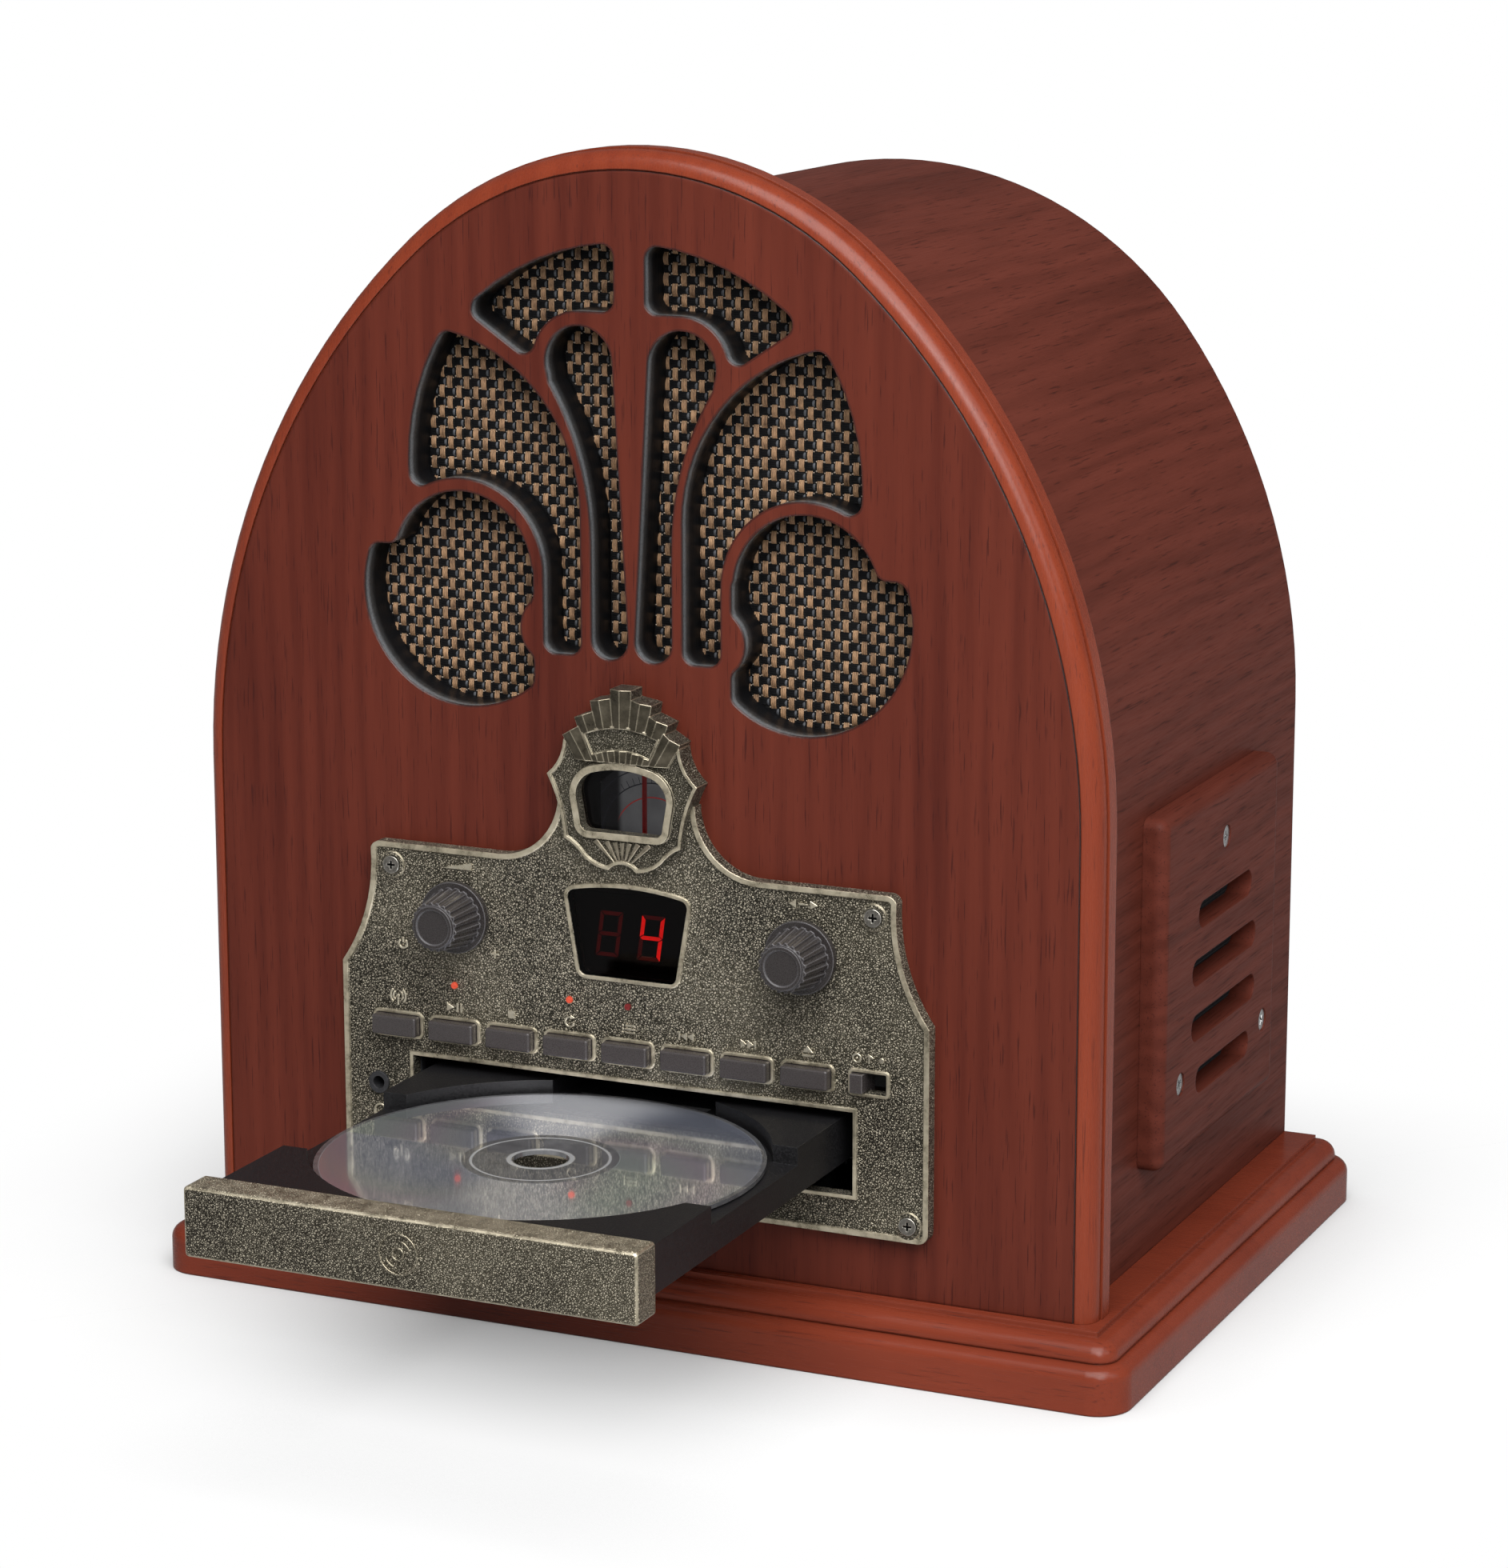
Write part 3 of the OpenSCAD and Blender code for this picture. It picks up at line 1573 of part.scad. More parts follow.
module disc_tray() {
    color("black") fitted() {
        difference() {
            union() {
                box([-tray_half, tray_y, tray_floor_z], [tray_half, tray_back, tray_floor_top]);
                both_sides() {
                    box([tray_half - skirt_t, tray_y, skirt_z], [tray_half, tray_back, tray_floor_top]);
                    tray_pad(tray_y, disc_y - finger_half, 0);
                    tray_pad(disc_y + finger_half, tray_back, rear_gap);
                }
                box([-tray_half, tray_y, skirt_z], [tray_half, tray_y + skirt_t, tray_floor_z]);
            }
            translate([0, disc_y, tray_floor_top]) cylinder(r = well_r, h = 2 * disc_r, $fn = 120);
            box(
                [-spin_slot_x, disc_y, tray_floor_z - over],
                [spin_slot_x, disc_y + spin_slot_back, tray_floor_top + over]
            );
            translate([0, disc_y, tray_floor_z - over]) {
                cylinder(r = spin_slot_x, h = tray_floor_t + 2 * over);
            }
        }
        translate([0, disc_y, tray_floor_top]) difference() {
            cylinder(r = disc_r - 2, h = disc_rest - fit, $fn = 120);
            translate([0, 0, -over]) cylinder(r = disc_r - 6, h = disc_rest + 2 * over, $fn = 120);
            box([-spin_slot_x, 0, -over], [spin_slot_x, disc_r, over]);
        }
        tray_rack();
    }
}

module tray_rack() {
    translate([0, 0, rack_z]) linear_extrude(tray_floor_z - rack_z) {
        translate([rack_x - rack_back - tooth_down, rack_start - tooth_pitch / 2]) {
            square([rack_back, rack_teeth * tooth_pitch]);
        }
        for (i = [0 : rack_teeth - 1]) {
            polygon(tooth(rack_x, rack_start + i * tooth_pitch + tooth_pitch / 2, 0));
        }
    }
}

module tray_front() {
    tray_round = 1.2;
    color("darkkhaki") fitted() {
        translate([0, tray_y, tray_front_z + tray_front_h / 2]) rotate([90, 0, 0]) {
            pillow(tray_front_w, tray_front_h, tray_front_t, tray_round);
        }
    }
}

module compact_disc() {
    color("lightgray") fitted() translate([0, disc_y, disc_z]) difference() {
        cylinder(r = disc_r, h = disc_t, $fn = 160);
        translate([0, 0, -over]) cylinder(r = disc_hole_r, h = disc_t + 2 * over);
    }
}

// Traverse, lowered about its hinge

module lowered() {
    fitted() translate([0, hinge_y, hinge_z]) rotate([lift_angle, 0, 0]) {
        translate([0, -hinge_y, -hinge_z]) children();
    }
}

module traverse_frame() {
    color("gray") lowered() difference() {
        union() {
            box([-deck_half, deck_front, deck_z], [deck_half, deck_back, deck_z + deck_t]);
            both_sides() {
                translate([0, hinge_y, hinge_z]) {
                    bar_x(trunnion_r + 2, deck_half - 3, deck_half);
                    bar_x(trunnion_r, deck_half - 3, deck_half + trunnion_len);
                }
                for (y = [rod_front, rod_back - rod_post]) {
                    box([rod_x - 4, y, deck_z], [rod_x + 4, y + rod_post, rod_z + 3]);
                }
            }
        }
        box(
            [-pickup_half - over, rod_front + rod_post, deck_z - over],
            [pickup_half + over, rod_back - rod_post, deck_z + deck_t + over]
        );
        translate([0, play_y, deck_z - over]) cylinder(r = 5, h = deck_t + 2 * over);
        for (s = [-1, 1]) translate([s * rod_x, 0, rod_z]) bar_y(rod_r, rod_front - over, rod_back + over);
    }
}

module guide_rods() {
    color("silver") lowered() for (s = [-1, 1]) {
        translate([s * rod_x, 0, rod_z]) bar_y(rod_r, rod_front, rod_back);
    }
}

module spindle_motor() {
    color("silver") lowered() translate([0, play_y, deck_z - spindle_motor_h]) {
        cylinder(r = spindle_motor_r, h = spindle_motor_h);
        cylinder(r = 4, h = spindle_motor_h + deck_t + over);
        cylinder(r = spindle_shaft_r, h = turntable_top - 2 - deck_z + spindle_motor_h);
    }
}

module turntable() {
    sleeve_z = deck_z + deck_t + 2 * over;
    flange = 2.5;
    hub_h = 1.8;
    color("black") lowered() translate([0, play_y, 0]) difference() {
        union() {
            translate([0, 0, sleeve_z]) cylinder(r = 4, h = turntable_top - sleeve_z);
            translate([0, 0, turntable_top - flange]) cylinder(r = turntable_r, h = flange);
            translate([0, 0, turntable_top]) cylinder(r = hub_r, h = hub_h);
            translate([0, 0, turntable_top + hub_h]) cylinder(r1 = hub_r, r2 = hub_r - 2, h = 0.6);
        }
        translate([0, 0, sleeve_z - over]) {
            cylinder(r = spindle_shaft_r + shaft_gap, h = turntable_top - sleeve_z);
        }
    }
}

module laser_pickup() {
    color("dimgray") lowered() difference() {
        union() {
            box(
                [-pickup_half, pickup_front, rod_z - pickup_low],
                [pickup_half, pickup_front + pickup_len, rod_z + pickup_high]
            );
            box([-8, pickup_front, rod_z], [8, pickup_front + 11, lens_z]);
            translate([0, lens_y, lens_z]) cylinder(r = 3.5, h = 0.9);
        }
        for (s = [-1, 1]) translate([s * rod_x, 0, rod_z]) {
            bar_y(rod_r + shaft_gap, pickup_front - over, pickup_front + pickup_len + over);
        }
    }
}

// Power and signal boards in the side bays

module main_board() {
    top = main_lift + pcb_t;
    color("darkgreen") fitted() {
        box([bay_in, main_front, main_lift], [bay_out, main_back, top]);
        for (x = [bay_in + main_post_in, bay_out - main_post_in]) {
            for (y = [main_front + main_post_in, main_back - main_post_in]) {
                translate([x, y, 0]) cylinder(r = main_post_r, h = main_lift);
            }
        }
        for (i = [1 : 4]) {
            translate([bay_in + 10, main_front + i * can_pitch, top]) cylinder(r = can_r, h = can_h);
        }
        box([bay_out - 12, main_front + 16, top], [bay_out - 8, main_front + 66, top + 12]);
        box([bay_in + 8, main_back - 24, top], [bay_in + 22, main_back - 10, top + 2]);
    }
}

module power_transformer() {
    core = [transformer_w, transformer_core] / 2;
    coil = [transformer_w / 2 - transformer_coil, transformer_d / 2];
    tab_x = core.x + transformer_tab;
    color("gray") fitted() {
        translate([-(bay_in + bay_out) / 2, transformer_y + transformer_d / 2, 0]) {
            box([-core.x, -core.y, 0], [core.x, core.y, transformer_h]);
            box([-coil.x, -coil.y, transformer_coil], [coil.x, coil.y, transformer_h - transformer_coil]);
            box([-tab_x, -core.y, 0], [tab_x, core.y, flange_t]);
        }
    }
}

base_plinth();
cabinet_shell();
front_panel();
arch_moulding();
grille_cloth();
back_panel();
back_panel_screws();
mains_inlet();
side_grille_left();
side_grille_right();
side_grille_cloths();
side_grille_screws();
left_speaker_frame();
right_speaker_frame();
speaker_cones();
faceplate();
faceplate_screws();
dial_crest();
dial_lens();
dial_tunnel();
dial_pointer();
dial_disc();
dial_cord();
tuning_capacitor();
display_lens();
display_module();
indicator_leds();
headphone_jack();
control_board();
switch_bodies();
volume_potentiometer();
volume_knob();
tuning_knob();
band_button();
play_pause_button();
stop_button();
repeat_button();
program_button();
skip_back_button();
skip_forward_button();
open_close_button();
function_switch();
loader_chassis();
loader_screws();
clamp_bridge();
clamp_puck();
loading_motor();
motor_pulley();
loading_belt();
tray_drive_gear();
disc_tray();
tray_front();
compact_disc();
traverse_frame();
guide_rods();
spindle_motor();
turntable();
laser_pickup();
main_board();
power_transformer();
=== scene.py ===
"""Looks for a tabletop radio and disc player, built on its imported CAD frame."""
import math

import bmesh
import bpy
from mathutils import Matrix, Vector


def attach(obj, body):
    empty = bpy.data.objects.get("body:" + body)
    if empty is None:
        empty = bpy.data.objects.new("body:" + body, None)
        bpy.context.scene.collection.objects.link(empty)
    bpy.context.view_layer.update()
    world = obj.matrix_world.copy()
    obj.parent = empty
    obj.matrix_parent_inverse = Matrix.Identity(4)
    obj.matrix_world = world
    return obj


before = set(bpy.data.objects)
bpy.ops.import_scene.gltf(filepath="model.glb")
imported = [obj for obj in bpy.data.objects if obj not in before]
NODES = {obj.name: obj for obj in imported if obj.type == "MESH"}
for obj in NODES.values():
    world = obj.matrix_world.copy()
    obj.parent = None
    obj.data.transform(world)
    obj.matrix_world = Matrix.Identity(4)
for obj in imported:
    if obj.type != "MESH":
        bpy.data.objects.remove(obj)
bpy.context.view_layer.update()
MM = 0.001

# Places that the solids also use, in millimetres in the shared frame
FACE_Y = -93.0
FIELD_Y = -96.75
RIM_Y = -97.25
CREST_FIELD_Y = -99.4
CREST_FRAME_Y = -100.4
ROW_PITCH = 17.97
ROW_Z = 80.7
KNOB_X = 52.5
DIAL_Z = 137.0
FAN_Z = 230.0
CLOTH_Y = -81.0
MODULE_Y = -91.5
DISC_Y = -149.95
TRAY_FRONT_Y, TRAY_FRONT_Z = -224.15, 61.8
PLATE_SCREWS = [(73.0, 126.7), (83.5, 42.2)]
BOSS_R = 3.8
SCREW_FACE_Y = -97.75


# Shader helpers

class Tree:
    """A material's nodes, added one call at a time."""

    def __init__(self, name):
        self.material = bpy.data.materials.new(name)
        self.material.use_nodes = True
        self.tree = self.material.node_tree
        self.shader = self.tree.nodes["Principled BSDF"]

    def add(self, kind, values=None, **props):
        node = self.tree.nodes.new(kind)
        for key, value in props.items():
            setattr(node, key, value)
        for key, value in (values or {}).items():
            self.put(node.inputs[key], value)
        return node

    def put(self, socket, value):
        if isinstance(value, bpy.types.NodeSocket):
            self.tree.links.new(value, socket)
        elif socket.type == "RGBA" and len(value) == 3:
            socket.default_value = (*value, 1)
        else:
            socket.default_value = value

    def set(self, **values):
        for key, value in values.items():
            self.put(self.shader.inputs[key.replace("_", " ")], value)

    def place(self):
        return self.add("ShaderNodeTexCoord").outputs["Object"]

    def stretched(self, vector, scale):
        return self.add("ShaderNodeMapping", {"Vector": vector, "Scale": scale}).outputs["Vector"]

    def noise(self, vector, scale, detail, rough, distort=0.0):
        node = self.add("ShaderNodeTexNoise", {
            "Vector": vector, "Scale": scale, "Detail": detail, "Roughness": rough, "Distortion": distort,
        })
        return node.outputs["Fac"]

    def cells(self, vector, scale):
        """Distance to the nearest edge between cells."""
        values = {"Vector": vector, "Scale": scale}
        return self.add("ShaderNodeTexVoronoi", values, feature="DISTANCE_TO_EDGE").outputs["Distance"]

    def bands(self, vector, scale, distort, detail, direction):
        node = self.add("ShaderNodeTexWave", {
            "Vector": vector, "Scale": scale, "Distortion": distort, "Detail": detail, "Detail Scale": 1.4,
        }, wave_type="BANDS", bands_direction=direction)
        return node.outputs["Fac"]

    def ramp(self, fac, stops):
        node = self.add("ShaderNodeValToRGB", {"Fac": fac})
        elements = node.color_ramp.elements
        while len(elements) < len(stops):
            elements.new(0.5)
        for element, (at, colour) in zip(elements, stops):
            element.position = at
            element.color = (*colour, 1)
        return node.outputs["Color"]

    def math(self, kind, a, b=0.0, c=None):
        node = self.add("ShaderNodeMath", operation=kind)
        self.put(node.inputs[0], a)
        self.put(node.inputs[1], b)
        if c is not None:
            self.put(node.inputs[2], c)
        return node.outputs["Value"]

    def product(self, *values):
        result = values[0]
        for value in values[1:]:
            result = self.math("MULTIPLY", result, value)
        return result

    def opposite(self, value):
        return self.math("SUBTRACT", 1.0, value)

    def square_reach(self, a, b):
        """Square of the distance whose two parts are a and b."""
        return self.math("ADD", self.math("MULTIPLY", a, a), self.math("MULTIPLY", b, b))

    def reach(self, a, b):
        return self.math("POWER", self.square_reach(a, b), 0.5)

    def between(self, value, low, high):
        above = self.math("GREATER_THAN", value, low)
        return self.math("MULTIPLY", above, self.math("LESS_THAN", value, high))

    def ease(self, value, low, high, to_low=0.0, to_high=1.0):
        node = self.add("ShaderNodeMapRange", {
            "Value": value, "From Min": low, "From Max": high, "To Min": to_low, "To Max": to_high,
        }, interpolation_type="SMOOTHSTEP")
        return node.outputs["Result"]

    def mix(self, fac, a, b, kind="MIX"):
        node = self.add("ShaderNodeMix", data_type="RGBA", blend_type=kind)
        self.put(node.inputs["Factor"], fac)
        self.put(node.inputs["A"], a)
        self.put(node.inputs["B"], b)
        return node.outputs["Result"]

    def line_at(self, reach, r_mm, near_mm, far_mm):
        """1 at one radius, fading to 0 between two distances from it."""
        off = self.math("ABSOLUTE", self.math("SUBTRACT", reach, r_mm * MM))
        return self.ease(off, near_mm * MM, far_mm * MM, 1.0, 0.0)

    def split(self, vector):
        node = self.add("ShaderNodeSeparateXYZ", {"Vector": vector})
        return [node.outputs[i] for i in range(3)]

    def bump(self, height, strength, distance, normal=None):
        values = {"Height": height, "Strength": strength, "Distance": distance}
        if normal is not None:
            values["Normal"] = normal
        return self.add("ShaderNodeBump", values).outputs["Normal"]

    def soft_edges(self, radius):
        return self.add("ShaderNodeBevel", {"Radius": radius}, samples=4).outputs["Normal"]

    def rounded_edge_mask(self, radius, spread=0.90):
        """1 along a rounded-over edge, 0 on the flat."""
        flat = self.add("ShaderNodeNewGeometry").outputs["True Normal"]
        pair = {0: self.soft_edges(radius), 1: flat}
        dot = self.add("ShaderNodeVectorMath", pair, operation="DOT_PRODUCT")
        return self.ease(dot.outputs["Value"], spread, 0.998, 1.0, 0.0)

    def facing(self):
        """How squarely the true surface faces each axis, from 0 to 1."""
        normal = self.add("ShaderNodeNewGeometry").outputs["True Normal"]
        return [self.math("ABSOLUTE", v) for v in self.split(normal)]

    def replace_shader(self, shader):
        """Puts another shader in the place of the usual one."""
        self.tree.nodes.remove(self.shader)
        self.tree.links.new(shader, self.tree.nodes["Material Output"].inputs["Surface"])


def paint(material, *names):
    for name in names:
        slots = NODES[name].data.materials
        slots.clear()
        slots.append(material)


# Wood

# Sizes of the veneer's textures, and how far they are drawn out along the grain
FIBRE_SCALE, STREAK_SCALE, FIGURE_SCALE, LINE_SCALE = 1700, 260, 22, 42
FINE_DRAW, SLOW_DRAW, THREAD_DRAW = 0.04, 0.12, 0.08

FRONT_DARK, FRONT_LIGHT = (0.040, 0.0062, 0.0038), (0.110, 0.0218, 0.0116)
FRONT_PORE = (0.021, 0.0040, 0.0032)
PAINT_DARK, PAINT_LIGHT = (0.014, 0.015, 0.016), (0.034, 0.036, 0.038)
# A painted highlight for the front of the black walls, and the blackest paint, used on the rims of the face
# and as painted shade far into the walls
PAINT_LIT, RIM_BLACK_AND_DEEP_SHADE = (0.110, 0.115, 0.122), (0.004, 0.004, 0.0045)

# Circle round all the cut-outs, and the width of black paint on their rims, in millimetres
FAN_MID_Z, FAN_REACH = 215.0, 92.0
RIM_PAINT = 1.1
# Depths behind the face where a painted highlight on the black walls begins and ends, and where painted
# shade darkens them
LIT_FROM, LIT_TO = (0.2, 0.9), (1.3, 2.8)
DARK_FROM = (2.0, 5.5)


def drawn_out(axis, amount):
    """Scale that stretches a texture along one axis."""
    return tuple(amount if name == axis else 1 for name in "XYZ")


def wood_colour(tree, along, dark, light, pore, wave):
    """Veneer whose grain runs along one axis; wave bends the growth lines. Gives colour and fibres."""
    place = tree.place()
    fine, slow = drawn_out(along, FINE_DRAW), drawn_out(along, SLOW_DRAW)
    fibre = tree.noise(tree.stretched(place, fine), FIBRE_SCALE, 3, 0.6)
    streak = tree.noise(tree.stretched(place, fine), STREAK_SCALE, 4, 0.6)
    figure = tree.noise(tree.stretched(place, slow), FIGURE_SCALE, 4, 0.55, wave)
    side = "Z" if along == "Y" else "X"
    lines = tree.bands(tree.stretched(place, slow), LINE_SCALE, 4 + 5 * wave, 3, side)
    tone = tree.math("MULTIPLY_ADD", figure, 0.55, -0.01)
    tone = tree.math("ADD", tone, tree.math("MULTIPLY", streak, 0.31))
    tone = tree.math("ADD", tone, tree.math("MULTIPLY", lines, 0.05 + 0.09 * wave))
    mid = [(a + b) / 2 for a, b in zip(dark, light)]
    colour = tree.ramp(tone, [(0.24, dark), (0.46, mid), (0.74, light)])
    pores = tree.math("MULTIPLY", tree.ease(fibre, 0.58, 0.68), 0.66)
    return tree.mix(pores, colour, pore), fibre


def wood(name, along, dark, light, pore, wave, rough, shine, edge=0.0006):
    tree = Tree(name)
    colour, fibre = wood_colour(tree, along, dark, light, pore, wave)
    tree.set(
        Base_Color=colour,
        Roughness=tree.ease(fibre, 0.3, 0.7, *rough),
        Specular_IOR_Level=shine,
        Normal=tree.bump(fibre, 0.10, 0.0002, tree.soft_edges(edge)),
    )
    return tree.material


def front_veneer():
    """Upright grain on the face, black paint on the walls of the cut-outs, with a painted highlight near
    their front edge and painted shade further in.
    """
    tree = Tree("front_veneer_finish")
    colour, fibre = wood_colour(tree, "Z", FRONT_DARK, FRONT_LIGHT, FRONT_PORE, 0.25)
    place = tree.place()
    x, y, z = tree.split(place)

    def behind(depths, to_low=0.0, to_high=1.0):
        low, high = [(FACE_Y + depth) * MM for depth in depths]
        return tree.ease(y, low, high, to_low, to_high)

    rise = tree.math("SUBTRACT", z, FAN_MID_Z * MM)
    fan = tree.math("LESS_THAN", tree.square_reach(x, rise), (FAN_REACH * MM) ** 2)
    rim = tree.math("MULTIPLY", tree.ease(tree.rounded_edge_mask(RIM_PAINT * MM), 0.02, 0.12), fan)
    wall = tree.ease(tree.facing()[1], 0.80, 0.95, 1.0, 0.0)
    painted = tree.math("MAXIMUM", wall, rim)
    grit = tree.noise(place, 1500, 3, 0.7)
    shaded_deep = behind(DARK_FROM)
    patchy = tree.ease(grit, 0.30, 0.60, 0.45, 0.95)
    # Painted highlight in patches along the walls' front edge
    streak = tree.product(behind(LIT_FROM), behind(LIT_TO, 1.0, 0.0), patchy)
    black = tree.ramp(grit, [(0.3, PAINT_DARK), (0.7, PAINT_LIGHT)])
    black = tree.mix(streak, black, PAINT_LIT)
    # Painted shade further into the walls; the rims on the face take the same blackest paint
    black = tree.mix(tree.math("MAXIMUM", shaded_deep, tree.opposite(wall)), black, RIM_BLACK_AND_DEEP_SHADE)
    veneer_rough = tree.ease(fibre, 0.3, 0.7, 0.44, 0.56)
    tree.set(
        Base_Color=tree.mix(painted, colour, black),
        Roughness=tree.math("SUBTRACT", veneer_rough, tree.math("MULTIPLY", painted, 0.14)),
        Specular_IOR_Level=0.12,
        Coat_Weight=tree.math("MULTIPLY", painted, tree.opposite(shaded_deep)),
        Coat_Roughness=0.25,
        Normal=tree.bump(fibre, 0.08, 0.0002, tree.soft_edges(RIM_PAINT * MM)),
        Coat_Normal=tree.bump(grit, 0.5, 0.0002, tree.soft_edges(1.6 * RIM_PAINT * MM)),
    )
    return tree.material


# Metal, plastic, glass

def grain_of(tree, place, scale):
    """Leather grain: rounded islands between crooked furrows, 0 in a furrow and 1 on an island."""
    drift = tree.add("ShaderNodeTexNoise", {"Vector": place, "Scale": scale * 0.9, "Detail": 2.0})
    centred = {0: drift.outputs["Color"], 1: (0.5, 0.5, 0.5)}
    pull = tree.add("ShaderNodeVectorMath", centred, operation="SUBTRACT")
    push = tree.add("ShaderNodeVectorMath", {0: pull.outputs["Vector"]}, operation="SCALE")
    push.inputs["Scale"].default_value = 1.3 / scale
    bent = tree.add("ShaderNodeVectorMath", {0: place, 1: push.outputs["Vector"]}, operation="ADD")
    edge = tree.cells(bent.outputs["Vector"], scale)
    fine = tree.noise(place, scale * 2.2, 2, 0.6)
    island = tree.ease(edge, 0.02, 0.30)
    return tree.math("MULTIPLY", island, tree.ease(fine, 0.25, 0.6, 0.55, 1.0))


# Brass from the furrows to the worn crests of its grain, the tint of its clouds, which are patina and
# painted sheen, and rubbed bright
DARK_BRASS = (0.030, 0.027, 0.020)
MID_BRASS = (0.196, 0.176, 0.136)
WORN_BRASS = (0.405, 0.364, 0.280)
CLOUD_BRASS = (0.120, 0.106, 0.072)
RUBBED_DARK, RUBBED, RUBBED_PALE = (0.27, 0.235, 0.165), (0.60, 0.53, 0.39), (0.74, 0.67, 0.52)
BRONZE_DARK, BRONZE_LIGHT = (0.046, 0.039, 0.027), (0.130, 0.112, 0.080)


def brass(name, raised, smooth=None, grain=1450, dark=DARK_BRASS, edge=0.0005, tone=1.0, spread=0.90):
    """Antique brass: a grained field with clouds of patina and painted sheen, with raised parts and edges
    worn bright.

    raised(tree) gives 0 to 1; smooth(tree), where given, is 1 on plain bronze without grain.
    """
    tree = Tree(name)
    place = tree.place()
    island = grain_of(tree, place, grain)
    cloud = tree.noise(place, 26, 2, 0.5)
    field = tree.ramp(island, [(0.10, dark), (0.55, MID_BRASS), (0.95, WORN_BRASS)])
    # Clouds of patina that also paint a broad sheen
    field = tree.mix(tree.ease(cloud, 0.38, 0.68, 0.0, 0.55), field, CLOUD_BRASS, "SCREEN")
    field = tree.mix(1.0, field, (tone, tone, tone), "MULTIPLY")
    rub = tree.noise(place, 240, 4, 0.7)
    bright = tree.ramp(rub, [(0.30, RUBBED_DARK), (0.52, RUBBED), (0.80, RUBBED_PALE)])
    up = tree.math("MAXIMUM", raised(tree), tree.rounded_edge_mask(edge, spread))
    flat = tree.opposite(up)
    if smooth:
        plain = smooth(tree)
        field = tree.mix(plain, field, tree.ramp(rub, [(0.3, BRONZE_DARK), (0.7, BRONZE_LIGHT)]))
        flat = tree.math("MULTIPLY", flat, tree.opposite(plain))
    tree.set(
        Base_Color=tree.mix(up, field, bright),
        Metallic=0.86,
        Roughness=tree.math("ADD", tree.ease(rub, 0.3, 0.7, 0.26, 0.40), tree.math("MULTIPLY", flat, 0.08)),
        Normal=tree.bump(tree.math("MULTIPLY", island, flat), 0.9, 0.00036, tree.soft_edges(0.00035)),
    )
    return tree.material


def height_band(tree, low_mm, high_mm):
    """0 behind the first depth, 1 in front of the second; the front faces -Y."""
    y = tree.split(tree.place())[1]
    return tree.ease(y, high_mm * MM, low_mm * MM, 1.0, 0.0)


def plate_raised(tree):
    """The rims, but not the screws' bosses."""
    x, _, z = tree.split(tree.place())
    x = tree.math("ABSOLUTE", x)
    rims = height_band(tree, FIELD_Y - 0.15, RIM_Y + 0.15)
    for at_x, at_z in PLATE_SCREWS:
        dx = tree.math("SUBTRACT", x, at_x * MM)
        dz = tree.math("SUBTRACT", z, at_z * MM)
        clear = tree.math("GREATER_THAN", tree.square_reach(dx, dz), (BOSS_R * MM) ** 2)
        rims = tree.math("MULTIPLY", rims, clear)
    return rims


# Bare panel of the crest: its arcs' middle and radii in millimetres, and how far its ends lean
PANEL_Z, PANEL_IN, PANEL_OUT, PANEL_LEAN = 145.0, 21.4, 27.2, 0.43
# How squarely the crest faces forwards where it counts as flat
FLAT_FROM, FLAT_TO = 0.985, 0.998


def crest_front(tree):
    """What stands out from the crest's field."""
    return height_band(tree, CREST_FIELD_Y - 0.2, CREST_FIELD_Y - 0.45)


def crest_raised(tree):
    """Rims and window frame are bright; the sloping rays, the bare panel and the field stay dark."""
    x, y, z = tree.split(tree.place())
    high = tree.math("MULTIPLY", crest_front(tree), tree.ease(tree.facing()[1], FLAT_FROM, FLAT_TO))
    rise = tree.math("SUBTRACT", z, PANEL_Z * MM)
    ring = tree.between(tree.reach(x, rise), PANEL_IN * MM, PANEL_OUT * MM)
    up = tree.math("ADD", tree.math("ABSOLUTE", rise), 0.0001)
    lean = tree.math("ABSOLUTE", tree.math("DIVIDE", x, up))
    low = tree.math("GREATER_THAN", y, (CREST_FRAME_Y + 0.25) * MM)
    sunk = tree.product(ring, tree.math("LESS_THAN", lean, PANEL_LEAN), low)
    return tree.math("MULTIPLY", high, tree.opposite(sunk))


def crest_smooth(tree):
    """The sloping rays."""
    slope = tree.ease(tree.facing()[1], FLAT_FROM, FLAT_TO, 1.0, 0.0)
    return tree.math("MULTIPLY", crest_front(tree), slope)


def edges_raised(tree):
    """Bright where the surface turns between its flat faces, and lighter on faces that point up."""
    x, y, z = tree.split(tree.add("ShaderNodeNewGeometry").outputs["Normal"])
    most = tree.math("MAXIMUM", tree.math("ABSOLUTE", x), tree.math("ABSOLUTE", y))
    most = tree.math("MAXIMUM", most, tree.math("ABSOLUTE", z))
    top = tree.ease(z, 0.35, 0.95, 0.0, 0.62)
    return tree.math("MAXIMUM", tree.ease(most, 0.80, 0.995, 1.0, 0.0), top)


def cross_screw(name):
    """Dark plated head, bright at its rim, with painted shade down in the cross."""
    tree = Tree(name)
    place = tree.place()
    y = tree.split(place)[1]
    rub = tree.noise(place, 900, 3, 0.6)
    # Painted shade: black down in the cross
    sunk = tree.ease(y, (SCREW_FACE_Y + 0.05) * MM, (SCREW_FACE_Y + 0.25) * MM)
    face = tree.ramp(rub, [(0.3, (0.13, 0.12, 0.105)), (0.7, (0.24, 0.225, 0.20))])
    face = tree.mix(tree.rounded_edge_mask(0.0005), face, (0.62, 0.59, 0.52))
    tree.set(
        Base_Color=tree.mix(sunk, face, (0.010, 0.009, 0.008)),
        Metallic=0.85,
        Roughness=tree.ease(rub, 0.3, 0.7, 0.22, 0.36),
        Normal=tree.soft_edges(0.0004),
    )
    return tree.material


